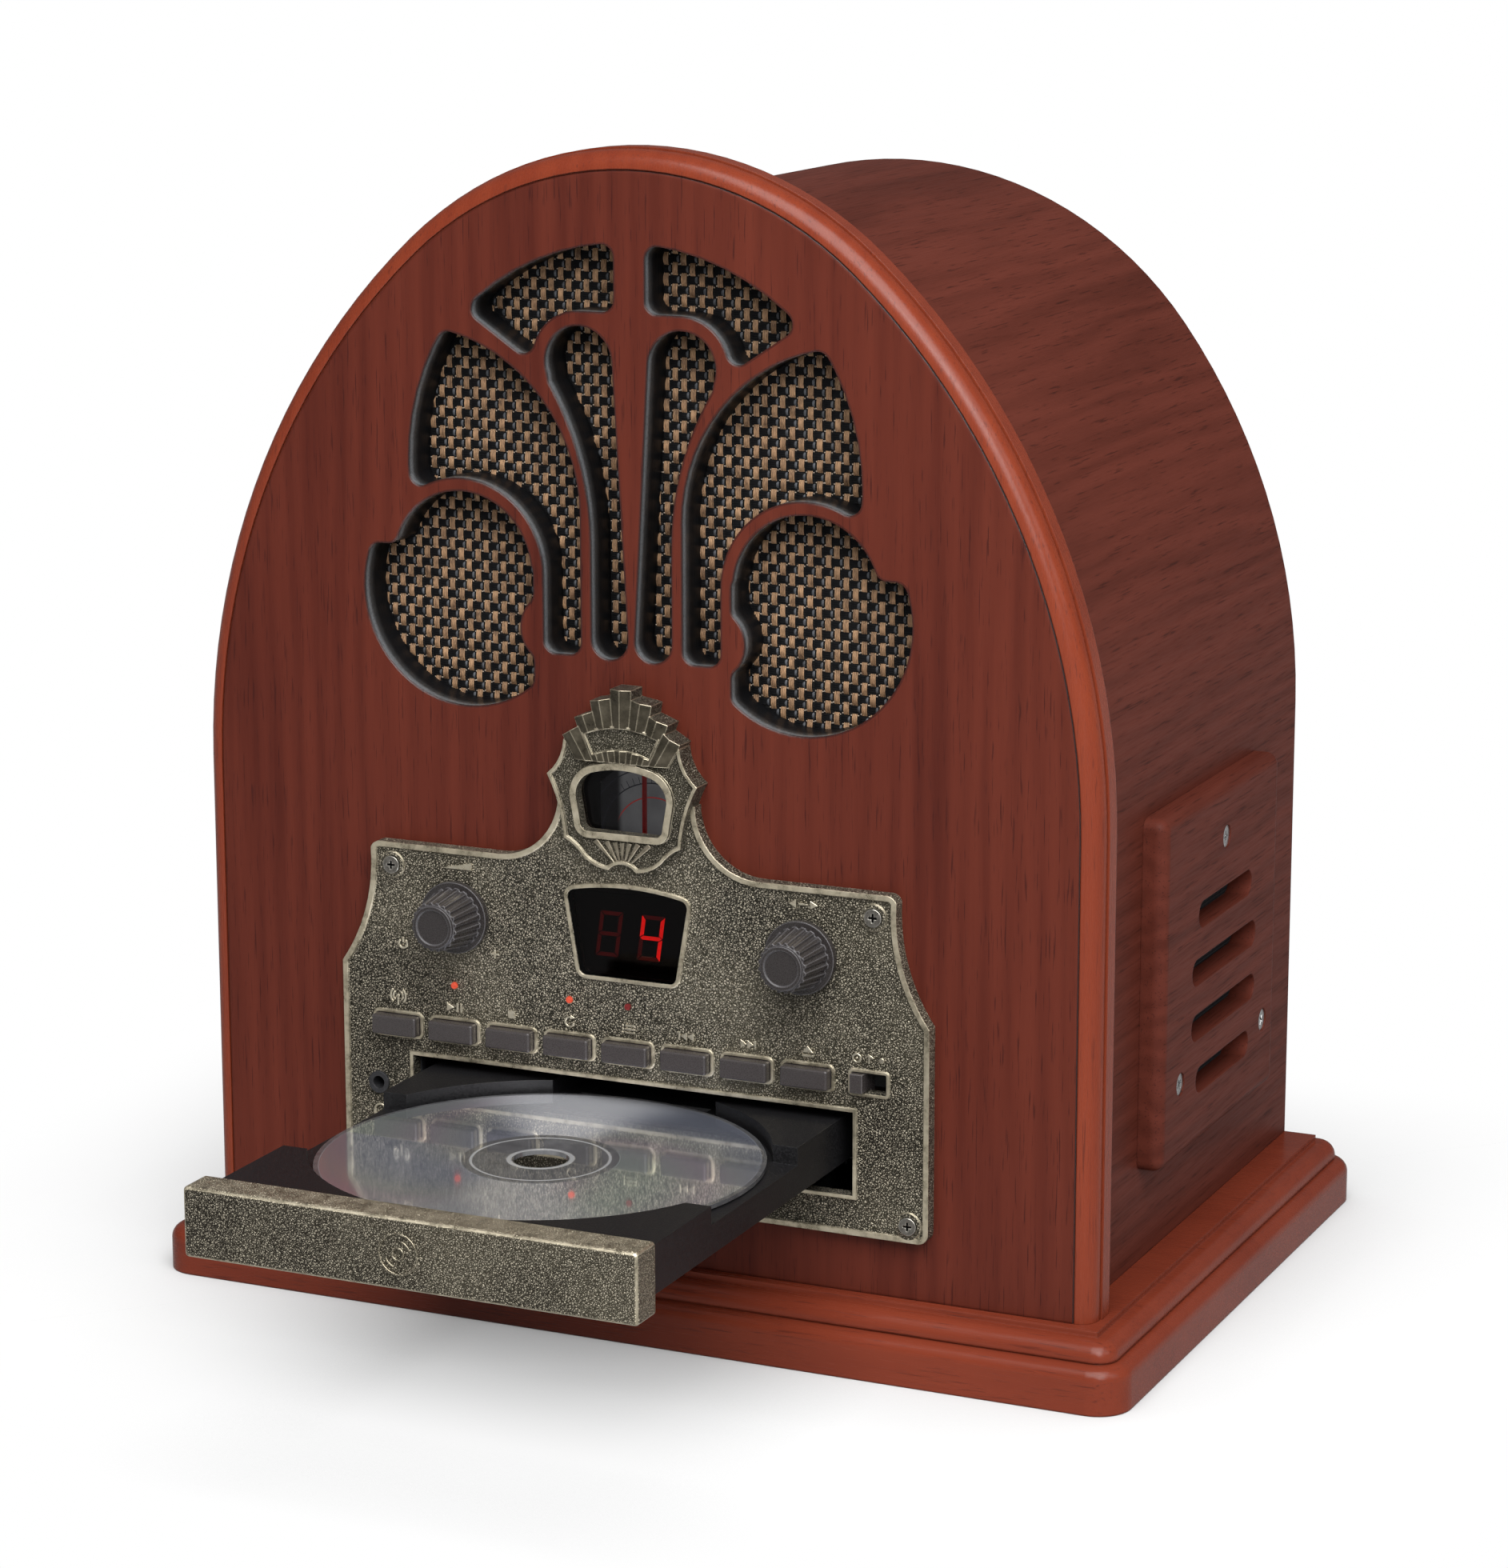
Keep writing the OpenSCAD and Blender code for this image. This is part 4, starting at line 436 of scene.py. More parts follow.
def plastic(name, dark, light, rough, grit=1600, relief=0.12, edge=0.0003, shine=0.5):
    tree = Tree(name)
    speck = tree.noise(tree.place(), grit, 3, 0.6)
    tree.set(
        Base_Color=tree.ramp(speck, [(0.32, dark), (0.70, light)]),
        Roughness=tree.ease(speck, 0.3, 0.7, *rough),
        Specular_IOR_Level=shine,
        Normal=tree.bump(speck, relief, 0.0001, tree.soft_edges(edge)),
    )
    return tree.material


def control(name, dark, light, edge):
    """Brown-black plastic with a painted highlight along its edges."""
    tree = Tree(name)
    speck = tree.noise(tree.place(), 5000, 2, 0.5)
    body = tree.ramp(speck, [(0.32, dark), (0.70, light)])
    # The last colour is a painted highlight on the edges
    tree.set(
        Base_Color=tree.mix(tree.rounded_edge_mask(0.0005), body, edge),
        Roughness=tree.ease(speck, 0.3, 0.7, 0.24, 0.34),
        Specular_IOR_Level=0.5,
        Normal=tree.soft_edges(0.0005),
    )
    return tree.material


def metal(name, dark, light, rough=(0.24, 0.40), scale=500, stretch=(1, 0.06, 1)):
    tree = Tree(name)
    brush = tree.noise(tree.stretched(tree.place(), stretch), scale, 4, 0.6)
    tree.set(
        Base_Color=tree.ramp(brush, [(0.3, dark), (0.7, light)]),
        Metallic=0.95,
        Roughness=tree.ease(brush, 0.3, 0.7, *rough),
        Normal=tree.bump(brush, 0.06, 0.0001, tree.soft_edges(0.0003)),
    )
    return tree.material


def cloth(name, dark, light, pitch_mm, relief):
    """Plain open weave, woven in Y and Z as well as X so that it suits either face."""
    tree = Tree(name)
    x, y, z = tree.split(tree.stretched(tree.place(), (1000 / pitch_mm,) * 3))
    warp = tree.math("ABSOLUTE", tree.math("SINE", tree.math("MULTIPLY", tree.math("ADD", x, y), math.pi)))
    weft = tree.math("ABSOLUTE", tree.math("SINE", tree.math("MULTIPLY", z, math.pi)))
    knit = tree.math("MULTIPLY", warp, weft)
    fuzz = tree.noise(tree.place(), 2600, 2, 0.6)
    height = tree.math("ADD", knit, tree.math("MULTIPLY", fuzz, 0.3))
    tree.set(
        Base_Color=tree.ramp(height, [(0.15, dark), (0.9, light)]),
        Roughness=0.85,
        Specular_IOR_Level=0.2,
        Normal=tree.bump(height, relief, 0.0003),
    )
    return tree.material


def thread(name, dark, light, along, shine=0.25):
    """Twisted fibres running along one axis."""
    tree = Tree(name)
    fibre = tree.noise(tree.stretched(tree.place(), drawn_out(along, THREAD_DRAW)), 5200, 3, 0.6)
    patch = tree.noise(tree.place(), 210, 2, 0.6)
    tone = tree.math("ADD", tree.math("MULTIPLY", fibre, 0.55), tree.math("MULTIPLY", patch, 0.45))
    tree.set(
        Base_Color=tree.ramp(tone, [(0.34, dark), (0.66, light)]),
        Roughness=0.62,
        Specular_IOR_Level=shine,
        Normal=tree.bump(fibre, 0.4, 0.0001),
    )
    return tree.material


def lens(name, tint):
    """Smoked window: a tinted clear body under a glossy face."""
    tree = Tree(name)
    haze = tree.noise(tree.place(), 60, 2, 0.5)
    smoke = tree.ramp(haze, [(0.3, [0.9 * v for v in tint]), (0.7, tint)])
    body = tree.add("ShaderNodeBsdfTransparent", {"Color": smoke}).outputs["BSDF"]
    polish = {"Color": (0.25, 0.25, 0.25), "Roughness": 0.03}
    gloss = tree.add("ShaderNodeBsdfGlossy", polish).outputs["BSDF"]
    rim = tree.add("ShaderNodeFresnel", {"IOR": 1.45}).outputs["Fac"]
    joined = tree.add("ShaderNodeMixShader", {0: rim, 1: body, 2: gloss})
    tree.replace_shader(joined.outputs["Shader"])
    return tree.material


def glow(name, colour, strength, dark):
    """Red plastic that shines; strength sets how far it is lit."""
    tree = Tree(name)
    depth = tree.noise(tree.place(), 1400, 2, 0.5)
    tree.set(
        Base_Color=tree.ramp(depth, [(0.3, dark), (0.7, [1.5 * v for v in dark])]),
        Roughness=0.3,
        Emission_Color=tree.ramp(depth, [(0.25, [0.75 * v for v in colour]), (0.7, colour)]),
        Emission_Strength=strength,
    )
    return tree.material


# The lamps left of this place are lit
LIT_LAMPS_X = -9.0


def lamps():
    """Two lamps lit, the right-hand one out."""
    tree = Tree("indicator_finish")
    lit = tree.math("LESS_THAN", tree.split(tree.place())[0], LIT_LAMPS_X * MM)
    depth = tree.noise(tree.place(), 1800, 2, 0.5)
    red = tree.ramp(depth, [(0.3, (0.85, 0.06, 0.02)), (0.7, (1.0, 0.16, 0.05))])
    tree.set(
        Base_Color=tree.ramp(depth, [(0.3, (0.09, 0.012, 0.012)), (0.7, (0.16, 0.02, 0.02))]),
        Roughness=0.16,
        Emission_Color=tree.mix(lit, (0, 0, 0), red),
        Emission_Strength=0.6,
    )
    return tree.material


# The disc's data band from its inner to its outer fade, its two moulded rings, painted pale as highlights,
# with the distances over which each fades, in millimetres, and the turn at which its painted highlight lies
BAND_FROM, BAND_TO = (20.8, 21.6), (58.2, 58.8)
STACKING_RING, HUB_LIP = (18.5, 0.2, 0.6), (8.4, 0.4, 1.0)
HIGHLIGHT_SWEEP_TURN = 1.82
# Colours of the painted rainbow reflection
RAINBOW_REFLECTION = [(0.0, (0.56, 0.60, 0.74)), (0.35, (0.66, 0.68, 0.70)),
           (0.6, (0.71, 0.64, 0.72)), (1.0, (0.63, 0.71, 0.68))]


def disc_mirror():
    """Mirror data band with a painted rainbow reflection and a painted highlight band, a clear hub whose
    moulded rings are painted pale as highlights, and a clear rim.
    """
    tree = Tree("disc_finish")
    x, y, _ = tree.split(tree.place())
    ahead = tree.math("SUBTRACT", y, DISC_Y * MM)
    reach = tree.reach(x, ahead)
    turn = tree.math("ARCTAN2", ahead, x)
    fan = tree.math("SINE", tree.math("MULTIPLY", turn, 2.0))
    hue = tree.math("ADD", tree.math("MULTIPLY", turn, 1.4), tree.math("MULTIPLY", reach, 60.0))
    rainbow = tree.ramp(tree.math("MULTIPLY_ADD", tree.math("SINE", hue), 0.5, 0.5), RAINBOW_REFLECTION)
    band_in, band_out = [[r * MM for r in edge] for edge in (BAND_FROM, BAND_TO)]
    band = tree.math("MULTIPLY", tree.ease(reach, *band_in), tree.ease(reach, *band_out, 1.0, 0.0))
    rings = tree.math("MAXIMUM", tree.line_at(reach, *STACKING_RING), tree.line_at(reach, *HUB_LIP))
    haze = tree.noise(tree.place(), 300, 2, 0.5)
    clear = tree.ramp(haze, [(0.3, (0.09, 0.09, 0.095)), (0.7, (0.14, 0.14, 0.145))])
    # The moulded rings painted pale as highlights
    clear = tree.mix(rings, clear, (0.44, 0.445, 0.45))
    # Painted highlight: a bright band at one turn, paler and hazier towards the back
    across = tree.math("MULTIPLY", tree.math("SUBTRACT", turn, HIGHLIGHT_SWEEP_TURN), 2.0)
    highlight_sweep = tree.math("POWER", tree.ease(tree.math("COSINE", across), 0.0, 1.0), 2.0)
    dulled = tree.math("MULTIPLY", highlight_sweep, tree.ease(ahead, -0.03, 0.03, 0.02, 0.20))
    rainbow = tree.mix(highlight_sweep, rainbow, (0.90, 0.91, 0.96))
    tree.set(
        Base_Color=tree.mix(band, clear, rainbow),
        Metallic=tree.math("SUBTRACT", tree.ease(band, 0.1, 0.9, 0.45, 0.88), dulled),
        Roughness=tree.ease(fan, -1.0, 1.0, 0.045, 0.075),
        Specular_IOR_Level=0.6,
        Coat_Weight=0.6,
        Coat_Roughness=0.03,
        Normal=tree.bump(rings, 0.3, 0.0003, tree.soft_edges(0.0002)),
    )
    return tree.material


# The dial's print in millimetres: a line's fade, the radii of its arcs and ticks, and its dark side
PRINT_FADE = (0.12, 0.22)
RED_ARC, TICKS_IN, TICKS_OUT, OUTER_ARC = 12.0, 16.0, 18.0, 20.0
DIAL_DARK, DIAL_CLEAR = -11.4, -9.2
TICKS_PER_RADIAN, TICK_HALF = 9.0, 0.05


def dial_print():
    """Grey scale with printed arcs and ticks that glow as painted light, dark towards the left."""
    tree = Tree("dial_finish")
    x, _, z = tree.split(tree.place())
    rise = tree.math("SUBTRACT", z, DIAL_Z * MM)
    reach = tree.reach(x, rise)
    turn = tree.math("ARCTAN2", rise, x)
    patch = tree.noise(tree.place(), 160, 3, 0.5)
    ground = tree.ramp(patch, [(0.3, (0.125, 0.125, 0.13)), (0.7, (0.175, 0.175, 0.18))])
    shade = tree.ease(x, DIAL_DARK * MM, DIAL_CLEAR * MM, 1.0, 0.0)
    ground = tree.mix(shade, ground, (0.012, 0.012, 0.013))
    red, inner, outer = [tree.line_at(reach, r, *PRINT_FADE) for r in (RED_ARC, TICKS_IN, OUTER_ARC)]
    step = tree.math("FRACT", tree.math("MULTIPLY", turn, TICKS_PER_RADIAN))
    tick = tree.math("LESS_THAN", tree.math("ABSOLUTE", tree.math("SUBTRACT", step, 0.5)), TICK_HALF)
    tick = tree.math("MULTIPLY", tick, tree.between(reach, TICKS_IN * MM, TICKS_OUT * MM))
    lines = tree.math("MAXIMUM", tree.math("MAXIMUM", inner, outer), tick)
    colour = tree.mix(lines, ground, (0.02, 0.02, 0.025))
    colour = tree.mix(tree.math("MULTIPLY", red, tree.opposite(shade)), colour, (0.42, 0.03, 0.03))
    # The print glows as painted light, with no lamp behind it
    tree.set(Base_Color=colour, Roughness=0.5, Emission_Color=colour, Emission_Strength=1.0,
             Normal=tree.bump(patch, 0.05, 0.0001))
    return tree.material


def board(name, mask, track):
    tree = Tree(name)
    place = tree.place()
    copper = tree.ease(tree.cells(place, 260), 0.04, 0.10)
    tree.set(
        Base_Color=tree.ramp(copper, [(0.1, mask), (0.9, track)]),
        Roughness=0.32,
        Normal=tree.bump(copper, 0.2, 0.0001),
    )
    return tree.material


# Finishes of the carried-over solids

SHELL_WOOD = wood("cabinet_finish", "Y", (0.050, 0.0116, 0.0073), (0.102, 0.0245, 0.0158),
                  (0.023, 0.007, 0.0053), 1.0, (0.40, 0.50), 0.05)
MOULDING_WOOD = wood("moulding_finish", "Z", (0.120, 0.019, 0.0085), (0.175, 0.032, 0.013),
                     (0.072, 0.013, 0.007), 0.3, (0.24, 0.32), 0.22, 0.0004)
PLINTH_WOOD = wood("plinth_finish", "X", (0.105, 0.018, 0.009), (0.160, 0.030, 0.014),
                   (0.062, 0.012, 0.007), 0.3, (0.20, 0.30), 0.18, 0.0008)
BLACK = plastic("black_plastic_finish", (0.010, 0.010, 0.011), (0.022, 0.022, 0.024), (0.40, 0.55))
TRAY_BLACK = plastic("tray_finish", (0.0032, 0.0030, 0.0034), (0.0110, 0.0106, 0.0115),
                     (0.36, 0.52), 1900, 0.45, 0.0003, 0.30)
# The last colour of each is a painted highlight on its edges
BROWN = control("knob_finish", (0.0165, 0.0138, 0.0134), (0.0240, 0.0202, 0.0196), (0.105, 0.100, 0.104))
BUTTON = control("button_finish", (0.030, 0.0254, 0.0248), (0.038, 0.0322, 0.0312), (0.105, 0.097, 0.097))
WHITE = plastic("white_plastic_finish", (0.62, 0.61, 0.57), (0.74, 0.73, 0.69), (0.35, 0.5))
STEEL = metal("steel_finish", (0.42, 0.42, 0.42), (0.62, 0.62, 0.61))
CAST = metal("cast_finish", (0.30, 0.31, 0.32), (0.44, 0.45, 0.46), (0.45, 0.6), 700, (1, 1, 1))
DARK_STEEL = plastic("speaker_finish", (0.035, 0.038, 0.040), (0.060, 0.064, 0.066), (0.35, 0.5), 900)
CONE = plastic("cone_finish", (0.012, 0.012, 0.012), (0.030, 0.030, 0.030), (0.75, 0.9), 1200, 0.5)
BACK_WOOD = plastic("back_panel_finish", (0.014, 0.012, 0.011), (0.038, 0.033, 0.030), (0.6, 0.75), 800, 0.5)
RUBBER = plastic("belt_finish", (0.010, 0.010, 0.010), (0.022, 0.022, 0.022), (0.6, 0.75), 2000, 0.3)
PLATE_BRASS = brass("plate_finish", plate_raised)
CREST_BRASS = brass("crest_finish", crest_raised, crest_smooth, 1650, tone=0.62, spread=0.94)
TRAY_BRASS = brass("tray_front_finish", edges_raised, None, 1650, (0.034, 0.029, 0.022), 0.0003)
SIGN = metal("sign_finish", (0.62, 0.55, 0.41), (0.82, 0.75, 0.60), (0.24, 0.36), 700, (1, 1, 1))
GRILLE_BACKING = cloth("grille_backing_finish", (0.0015, 0.0015, 0.0015), (0.0050, 0.0046, 0.0042),
                       0.7, 0.5)
SIDE_CLOTH = cloth("side_cloth_finish", (0.006, 0.006, 0.007), (0.030, 0.031, 0.034), 0.9, 0.8)
DISPLAY_BLACK = plastic("display_finish", (0.004, 0.002, 0.002), (0.008, 0.004, 0.004),
                        (0.5, 0.6), 1600, 0.0, 0.0003, 0.1)

paint(SHELL_WOOD, "cabinet_shell", "side_grille_left", "side_grille_right")
paint(front_veneer(), "front_panel")
paint(MOULDING_WOOD, "arch_moulding")
paint(PLINTH_WOOD, "base_plinth")
paint(GRILLE_BACKING, "grille_cloth")
paint(SIDE_CLOTH, "side_grille_cloths")
paint(BACK_WOOD, "back_panel")
paint(STEEL, "back_panel_screws", "side_grille_screws", "loader_screws", "clamp_bridge", "loading_motor",
      "guide_rods", "spindle_motor", "volume_potentiometer", "tuning_capacitor")
paint(BLACK, "mains_inlet", "dial_tunnel", "headphone_jack", "switch_bodies", "loader_chassis", "turntable",
      "laser_pickup")
paint(DARK_STEEL, "left_speaker_frame", "right_speaker_frame", "power_transformer")
paint(CONE, "speaker_cones")
paint(PLATE_BRASS, "faceplate")
paint(CREST_BRASS, "dial_crest")
paint(TRAY_BRASS, "tray_front")
paint(cross_screw("screw_finish"), "faceplate_screws")
paint(lens("dial_lens_finish", (0.62, 0.62, 0.62)), "dial_lens")
paint(lens("display_lens_finish", (0.55, 0.50, 0.50)), "display_lens")
paint(DISPLAY_BLACK, "display_module")
# The pointer glows a little as painted light; no lamp lights it
paint(glow("pointer_finish", (0.8, 0.02, 0.02), 0.15, (0.30, 0.01, 0.01)), "dial_pointer")
paint(dial_print(), "dial_disc")
paint(lamps(), "indicator_leds")
paint(thread("cord_finish", (0.30, 0.26, 0.16), (0.50, 0.45, 0.32), "X"), "dial_cord")
paint(board("main_board_finish", (0.015, 0.10, 0.03), (0.03, 0.19, 0.06)), "main_board")
paint(board("control_board_finish", (0.016, 0.010, 0.007), (0.034, 0.022, 0.015)), "control_board")
paint(BROWN, "volume_knob", "tuning_knob")
paint(BUTTON, "band_button", "play_pause_button", "stop_button", "repeat_button",
      "program_button", "skip_back_button", "skip_forward_button", "open_close_button", "function_switch")
paint(WHITE, "clamp_puck", "motor_pulley", "tray_drive_gear")
paint(RUBBER, "loading_belt")
paint(TRAY_BLACK, "disc_tray")
paint(disc_mirror(), "compact_disc")
paint(CAST, "traverse_frame")


# Pieces made here

def piece(name, mesh, material, body):
    thing = bpy.data.objects.new(name, mesh)
    bpy.context.scene.collection.objects.link(thing)
    materials = material if isinstance(material, list) else [material]
    for one in materials:
        mesh.materials.append(one)
    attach(thing, body)
    return thing


def relief(name, shapes, back, front, material, body, slot, bevel=0.0):
    """Outlines in X and Z, in millimetres, raised from one depth to another."""
    bm = bmesh.new()
    for outline in shapes:
        low = [bm.verts.new((x * MM, back * MM, z * MM)) for x, z in outline]
        high = [bm.verts.new((x * MM, front * MM, z * MM)) for x, z in outline]
        bm.faces.new(high)
        bm.faces.new(low[::-1])
        for i in range(len(outline)):
            j = (i + 1) % len(outline)
            bm.faces.new((low[i], low[j], high[j], high[i]))
    bmesh.ops.recalc_face_normals(bm, faces=bm.faces)
    mesh = bpy.data.meshes.new(name)
    bm.to_mesh(mesh)
    bm.free()
    thing = piece(name, mesh, material, body)
    if bevel:
        rounding = thing.modifiers.new("rounding", "BEVEL")
        rounding.width = bevel * MM
        rounding.segments = 2
        rounding.limit_method = "ANGLE"


# Outlines for the symbols

def moved(outline, at):
    return [(x + at[0], z + at[1]) for x, z in outline]


def all_moved(outlines, at):
    return [moved(outline, at) for outline in outlines]


def bar(w, h, at=(0, 0)):
    return moved([(-w / 2, -h / 2), (w / 2, -h / 2), (w / 2, h / 2), (-w / 2, h / 2)], at)


def arrow(w, h, at=(0, 0)):
    """Triangle pointing along +X, or -X for a negative width."""
    points = [(-w / 2, -h / 2), (w / 2, 0), (-w / 2, h / 2)]
    return moved(points if w > 0 else points[::-1], at)


def arc(r, w, start, end, at=(0, 0), steps=20):
    angles = [math.radians(start + (end - start) * i / steps) for i in range(steps + 1)]
    outer = [((r + w / 2) * math.cos(a), (r + w / 2) * math.sin(a)) for a in angles]
    inner = [((r - w / 2) * math.cos(a), (r - w / 2) * math.sin(a)) for a in reversed(angles)]
    return moved(outer + inner, at)


def ring(r, w):
    return [arc(r, w, 0, 180), arc(r, w, 180, 360)]


def spot(r, at=(0, 0)):
    return moved([(r * math.cos(a * math.pi / 8), r * math.sin(a * math.pi / 8)) for a in range(16)], at)


# Places of the signs on the plate and the width of their lines, in millimetres
SIGN_LINE, SIGN_RISE, SIGN_THICK = 0.56, 6.7, 0.30
ROW_MIDDLE = 4
KNOB_SIGN_Z = 128.2
POWER_AT, PLUS_AT, PHONES_AT = (-70.0, 104.2), (-41.0, 104.2), (-78.3, 54.6)


def row_signs():
    """Signs over the row of controls, from left to right."""
    mast = [bar(SIGN_LINE, 2.6), spot(0.5, (0, 1.5))]
    waves = [arc(r, SIGN_LINE, start, start + 100, (0, 1.4)) for r in (1.5, 2.4) for start in (-50, 130)]
    play_pause = [arrow(2.3, 2.6, (-1.3, 0)), bar(0.6, 2.6, (0.9, 0)), bar(0.6, 2.6, (2.1, 0))]
    stop = [bar(2.3, 2.3)]
    repeat = [arc(1.35, SIGN_LINE, 70, 350), arrow(1.3, 1.3, (1.0, 1.35))]
    list_z = (-1.0, 0, 1.0)
    program = [bar(3.0, SIGN_LINE, (0.7, z)) for z in list_z] + [spot(0.32, (-1.6, z)) for z in list_z]
    skip_back = [bar(0.6, 2.4, (-2.4, 0)), arrow(-1.9, 2.4, (-1.0, 0)), arrow(-1.9, 2.4, (1.0, 0))]
    skip_on = [bar(0.6, 2.4, (2.4, 0)), arrow(1.9, 2.4, (1.0, 0)), arrow(1.9, 2.4, (-1.0, 0))]
    eject = [[(-1.7, -0.2), (1.7, -0.2), (0, 1.7)], bar(3.4, 0.6, (0, -1.1))]
    disc = all_moved(ring(1.1, SIGN_LINE) + [spot(0.35)], (-3.6, 0))
    aerial = [bar(SIGN_LINE, 2.0, (0, -0.2)), arc(1.1, SIGN_LINE, 20, 160, (0, -0.2))]
    dot = [spot(0.8, (3.6, 0))]
    return [mast + waves, play_pause, stop, repeat, program, skip_back, skip_on, eject, disc + aerial + dot]


def symbols():
    """One raised sign for each control."""
    out = []
    for i, outlines in enumerate(row_signs()):
        out += all_moved(outlines, ((i - ROW_MIDDLE) * ROW_PITCH, ROW_Z + SIGN_RISE))
    volume = [[(-4.6, -0.9), (4.6, -0.9), (4.6, 1.3)]]
    power = [arc(1.3, SIGN_LINE, 130, 410), bar(SIGN_LINE, 1.5, (0, 1.1))]
    plus = [bar(2.6, 0.55), bar(0.55, 1.02, (0, 0.79)), bar(0.55, 1.02, (0, -0.79))]
    tuning = [arrow(-2.2, 2.4, (-3.2, 0)), arrow(2.2, 2.4, (3.2, 0)), bar(2.6, SIGN_LINE)]
    phones = [arc(1.7, SIGN_LINE, 0, 180), bar(0.9, 1.5, (-1.7, -0.5)), bar(0.9, 1.5, (1.7, -0.5))]
    out += all_moved(volume, (-KNOB_X, KNOB_SIGN_Z))
    out += all_moved(power, POWER_AT)
    out += all_moved(plus, PLUS_AT)
    out += all_moved(tuning, (KNOB_X, KNOB_SIGN_Z))
    out += all_moved(phones, PHONES_AT)
    return out


relief("plate_symbols", symbols(), FIELD_Y, FIELD_Y - SIGN_THICK, SIGN, "cabinet", "antique_brass", 0.05)


# Bare disc sign on the tray's front

TRAY_SIGN_AT, TRAY_SIGN_THICK = (-2, TRAY_FRONT_Z), 0.25
TRAY_SIGN = ring(5.4, 0.55) + ring(1.6, 0.5) + [arc(3.6, 0.4, 20, 70), arc(3.6, 0.4, 200, 250)]
relief("tray_front_sign", all_moved(TRAY_SIGN, TRAY_SIGN_AT), TRAY_FRONT_Y, TRAY_FRONT_Y - TRAY_SIGN_THICK,
       TRAY_BRASS, "tray", "antique_brass", 0.08)


# Small fan of ridges under the dial window, in millimetres and degrees

RIDGES_A_SIDE, RIDGE_STEP = 3, 15
RIDGE_FOOT = Vector((0, 132.4))
RIDGE_IN, RIDGE_OUT = 2.6, 8.2
RIDGE_HALF_IN, RIDGE_HALF_OUT, RIDGE_THICK = 0.12, 0.72, 0.45


def low_fan():
    out = []
    for i in range(-RIDGES_A_SIDE, RIDGES_A_SIDE + 1):
        lean = math.radians(i * RIDGE_STEP)
        along = Vector((-math.sin(lean), math.cos(lean)))
        side = Vector((-along.y, along.x))
        start, end = RIDGE_FOOT + along * RIDGE_IN, RIDGE_FOOT + along * (RIDGE_OUT / math.cos(lean))
        narrow, wide = side * RIDGE_HALF_IN, side * RIDGE_HALF_OUT
        out.append([tuple(start - narrow), tuple(start + narrow), tuple(end + wide), tuple(end - wide)])
    return out


RIDGE_BRASS = metal("low_fan_finish", (0.26, 0.225, 0.165), (0.48, 0.425, 0.32), (0.28, 0.4), 700, (1, 1, 1))
relief("crest_low_fan", low_fan(), CREST_FIELD_Y, CREST_FIELD_Y - RIDGE_THICK, RIDGE_BRASS, "cabinet",
       "antique_brass", 0.1)


# Two-figure display behind its window, in millimetres

FIGURE_LEFTS, FIGURE_LOW = (-12.45, 0.25), 105.9
FIGURE_W, FIGURE_H = 6.9, 12.9
BAR_T, BAR_GAP, SLANT = 1.15, 0.256, 0.14
LIT_BARS = ("", "bcfg")


def figure(left, lit):
    """Bars of one figure, slanted; lit names the bars that shine. Gives (lit, unlit)."""
    w, h, t = FIGURE_W, FIGURE_H, BAR_T
    mid, tip, notch = h / 2, t * 0.6, t * 0.55
    bars = {
        "a": [(0, h), (w, h), (w - t, h - t), (t, h - t)],
        "d": [(0, 0), (t, t), (w - t, t), (w, 0)],
        "g": [(0, mid), (tip, mid + t / 2), (w - tip, mid + t / 2), (w, mid), (w - tip, mid - t / 2),
              (tip, mid - t / 2)],
        "f": [(0, h), (t, h - t), (t, mid + notch), (0, mid)],
        "e": [(0, mid), (t, mid - notch), (t, t), (0, 0)],
        "b": [(w, h), (w, mid), (w - t, mid + notch), (w - t, h - t)],
        "c": [(w, mid), (w, 0), (w - t, t), (w - t, mid - notch)],
    }
    on, off = [], []
    for key, outline in bars.items():
        cx = sum(p[0] for p in outline) / len(outline)
        cz = sum(p[1] for p in outline) / len(outline)
        shrunk = []
        for x, z in outline:
            k = max(0.0, 1 - BAR_GAP / math.hypot(x - cx, z - cz))
            x, z = cx + (x - cx) * k, cz + (z - cz) * k
            shrunk.append((left + x + SLANT * z, FIGURE_LOW + z))
        (on if key in lit else off).append(shrunk)
    return on, off


FIGURES = [figure(left, lit) for left, lit in zip(FIGURE_LEFTS, LIT_BARS)]
relief("display_lit_bars", [shape for on, off in FIGURES for shape in on], MODULE_Y, MODULE_Y - 0.25,
       glow("lit_bar_finish", (1.0, 0.010, 0.008), 2.2, (0.20, 0.005, 0.005)), "cabinet", "display_red")
# The unlit bars glow faintly as painted light
relief("display_dim_bars", [shape for on, off in FIGURES for shape in off], MODULE_Y, MODULE_Y - 0.2,
       glow("dim_bar_finish", (0.10, 0.002, 0.002), 1.1, (0.030, 0.002, 0.002)), "cabinet", "display_red")


# Basket weave in front of the grille's backing cloth, in millimetres

HALF_X, HALF_Z = 2.64, 2.82
COLUMNS, ROWS = range(-33, 34), range(-22, 28)
CUT_ROOM = 1.0
JOG = 0.12
TAN, DARK, KNOT, GREY = range(4)
# Each kind of strand: half its length, half its width, and how far it arches out
TAN_PITCH, TAN_LEN, TAN_W, TAN_VARIES, TAN_RISE = 0.53, 1.72, 0.28, 0.05, 0.90
DARK_PITCH, DARK_SHIFT, DARK_LEN, DARK_W, DARK_RISE = 0.62, -0.15, 1.35, 0.30, 0.26
# The grey strand is a painted highlight on the ends of the black strands
GREY_SHIFT, GREY_LEN, GREY_W, GREY_RISE = 0.95, 0.85, 0.36, 0.62
# Rows of points along a strand, how far its ends drop, its sides' share of its height, and its taper
STRAND_ROWS, END_DROP, SIDE_HEIGHT, TAPER = 5, 0.85, 0.55, 0.18
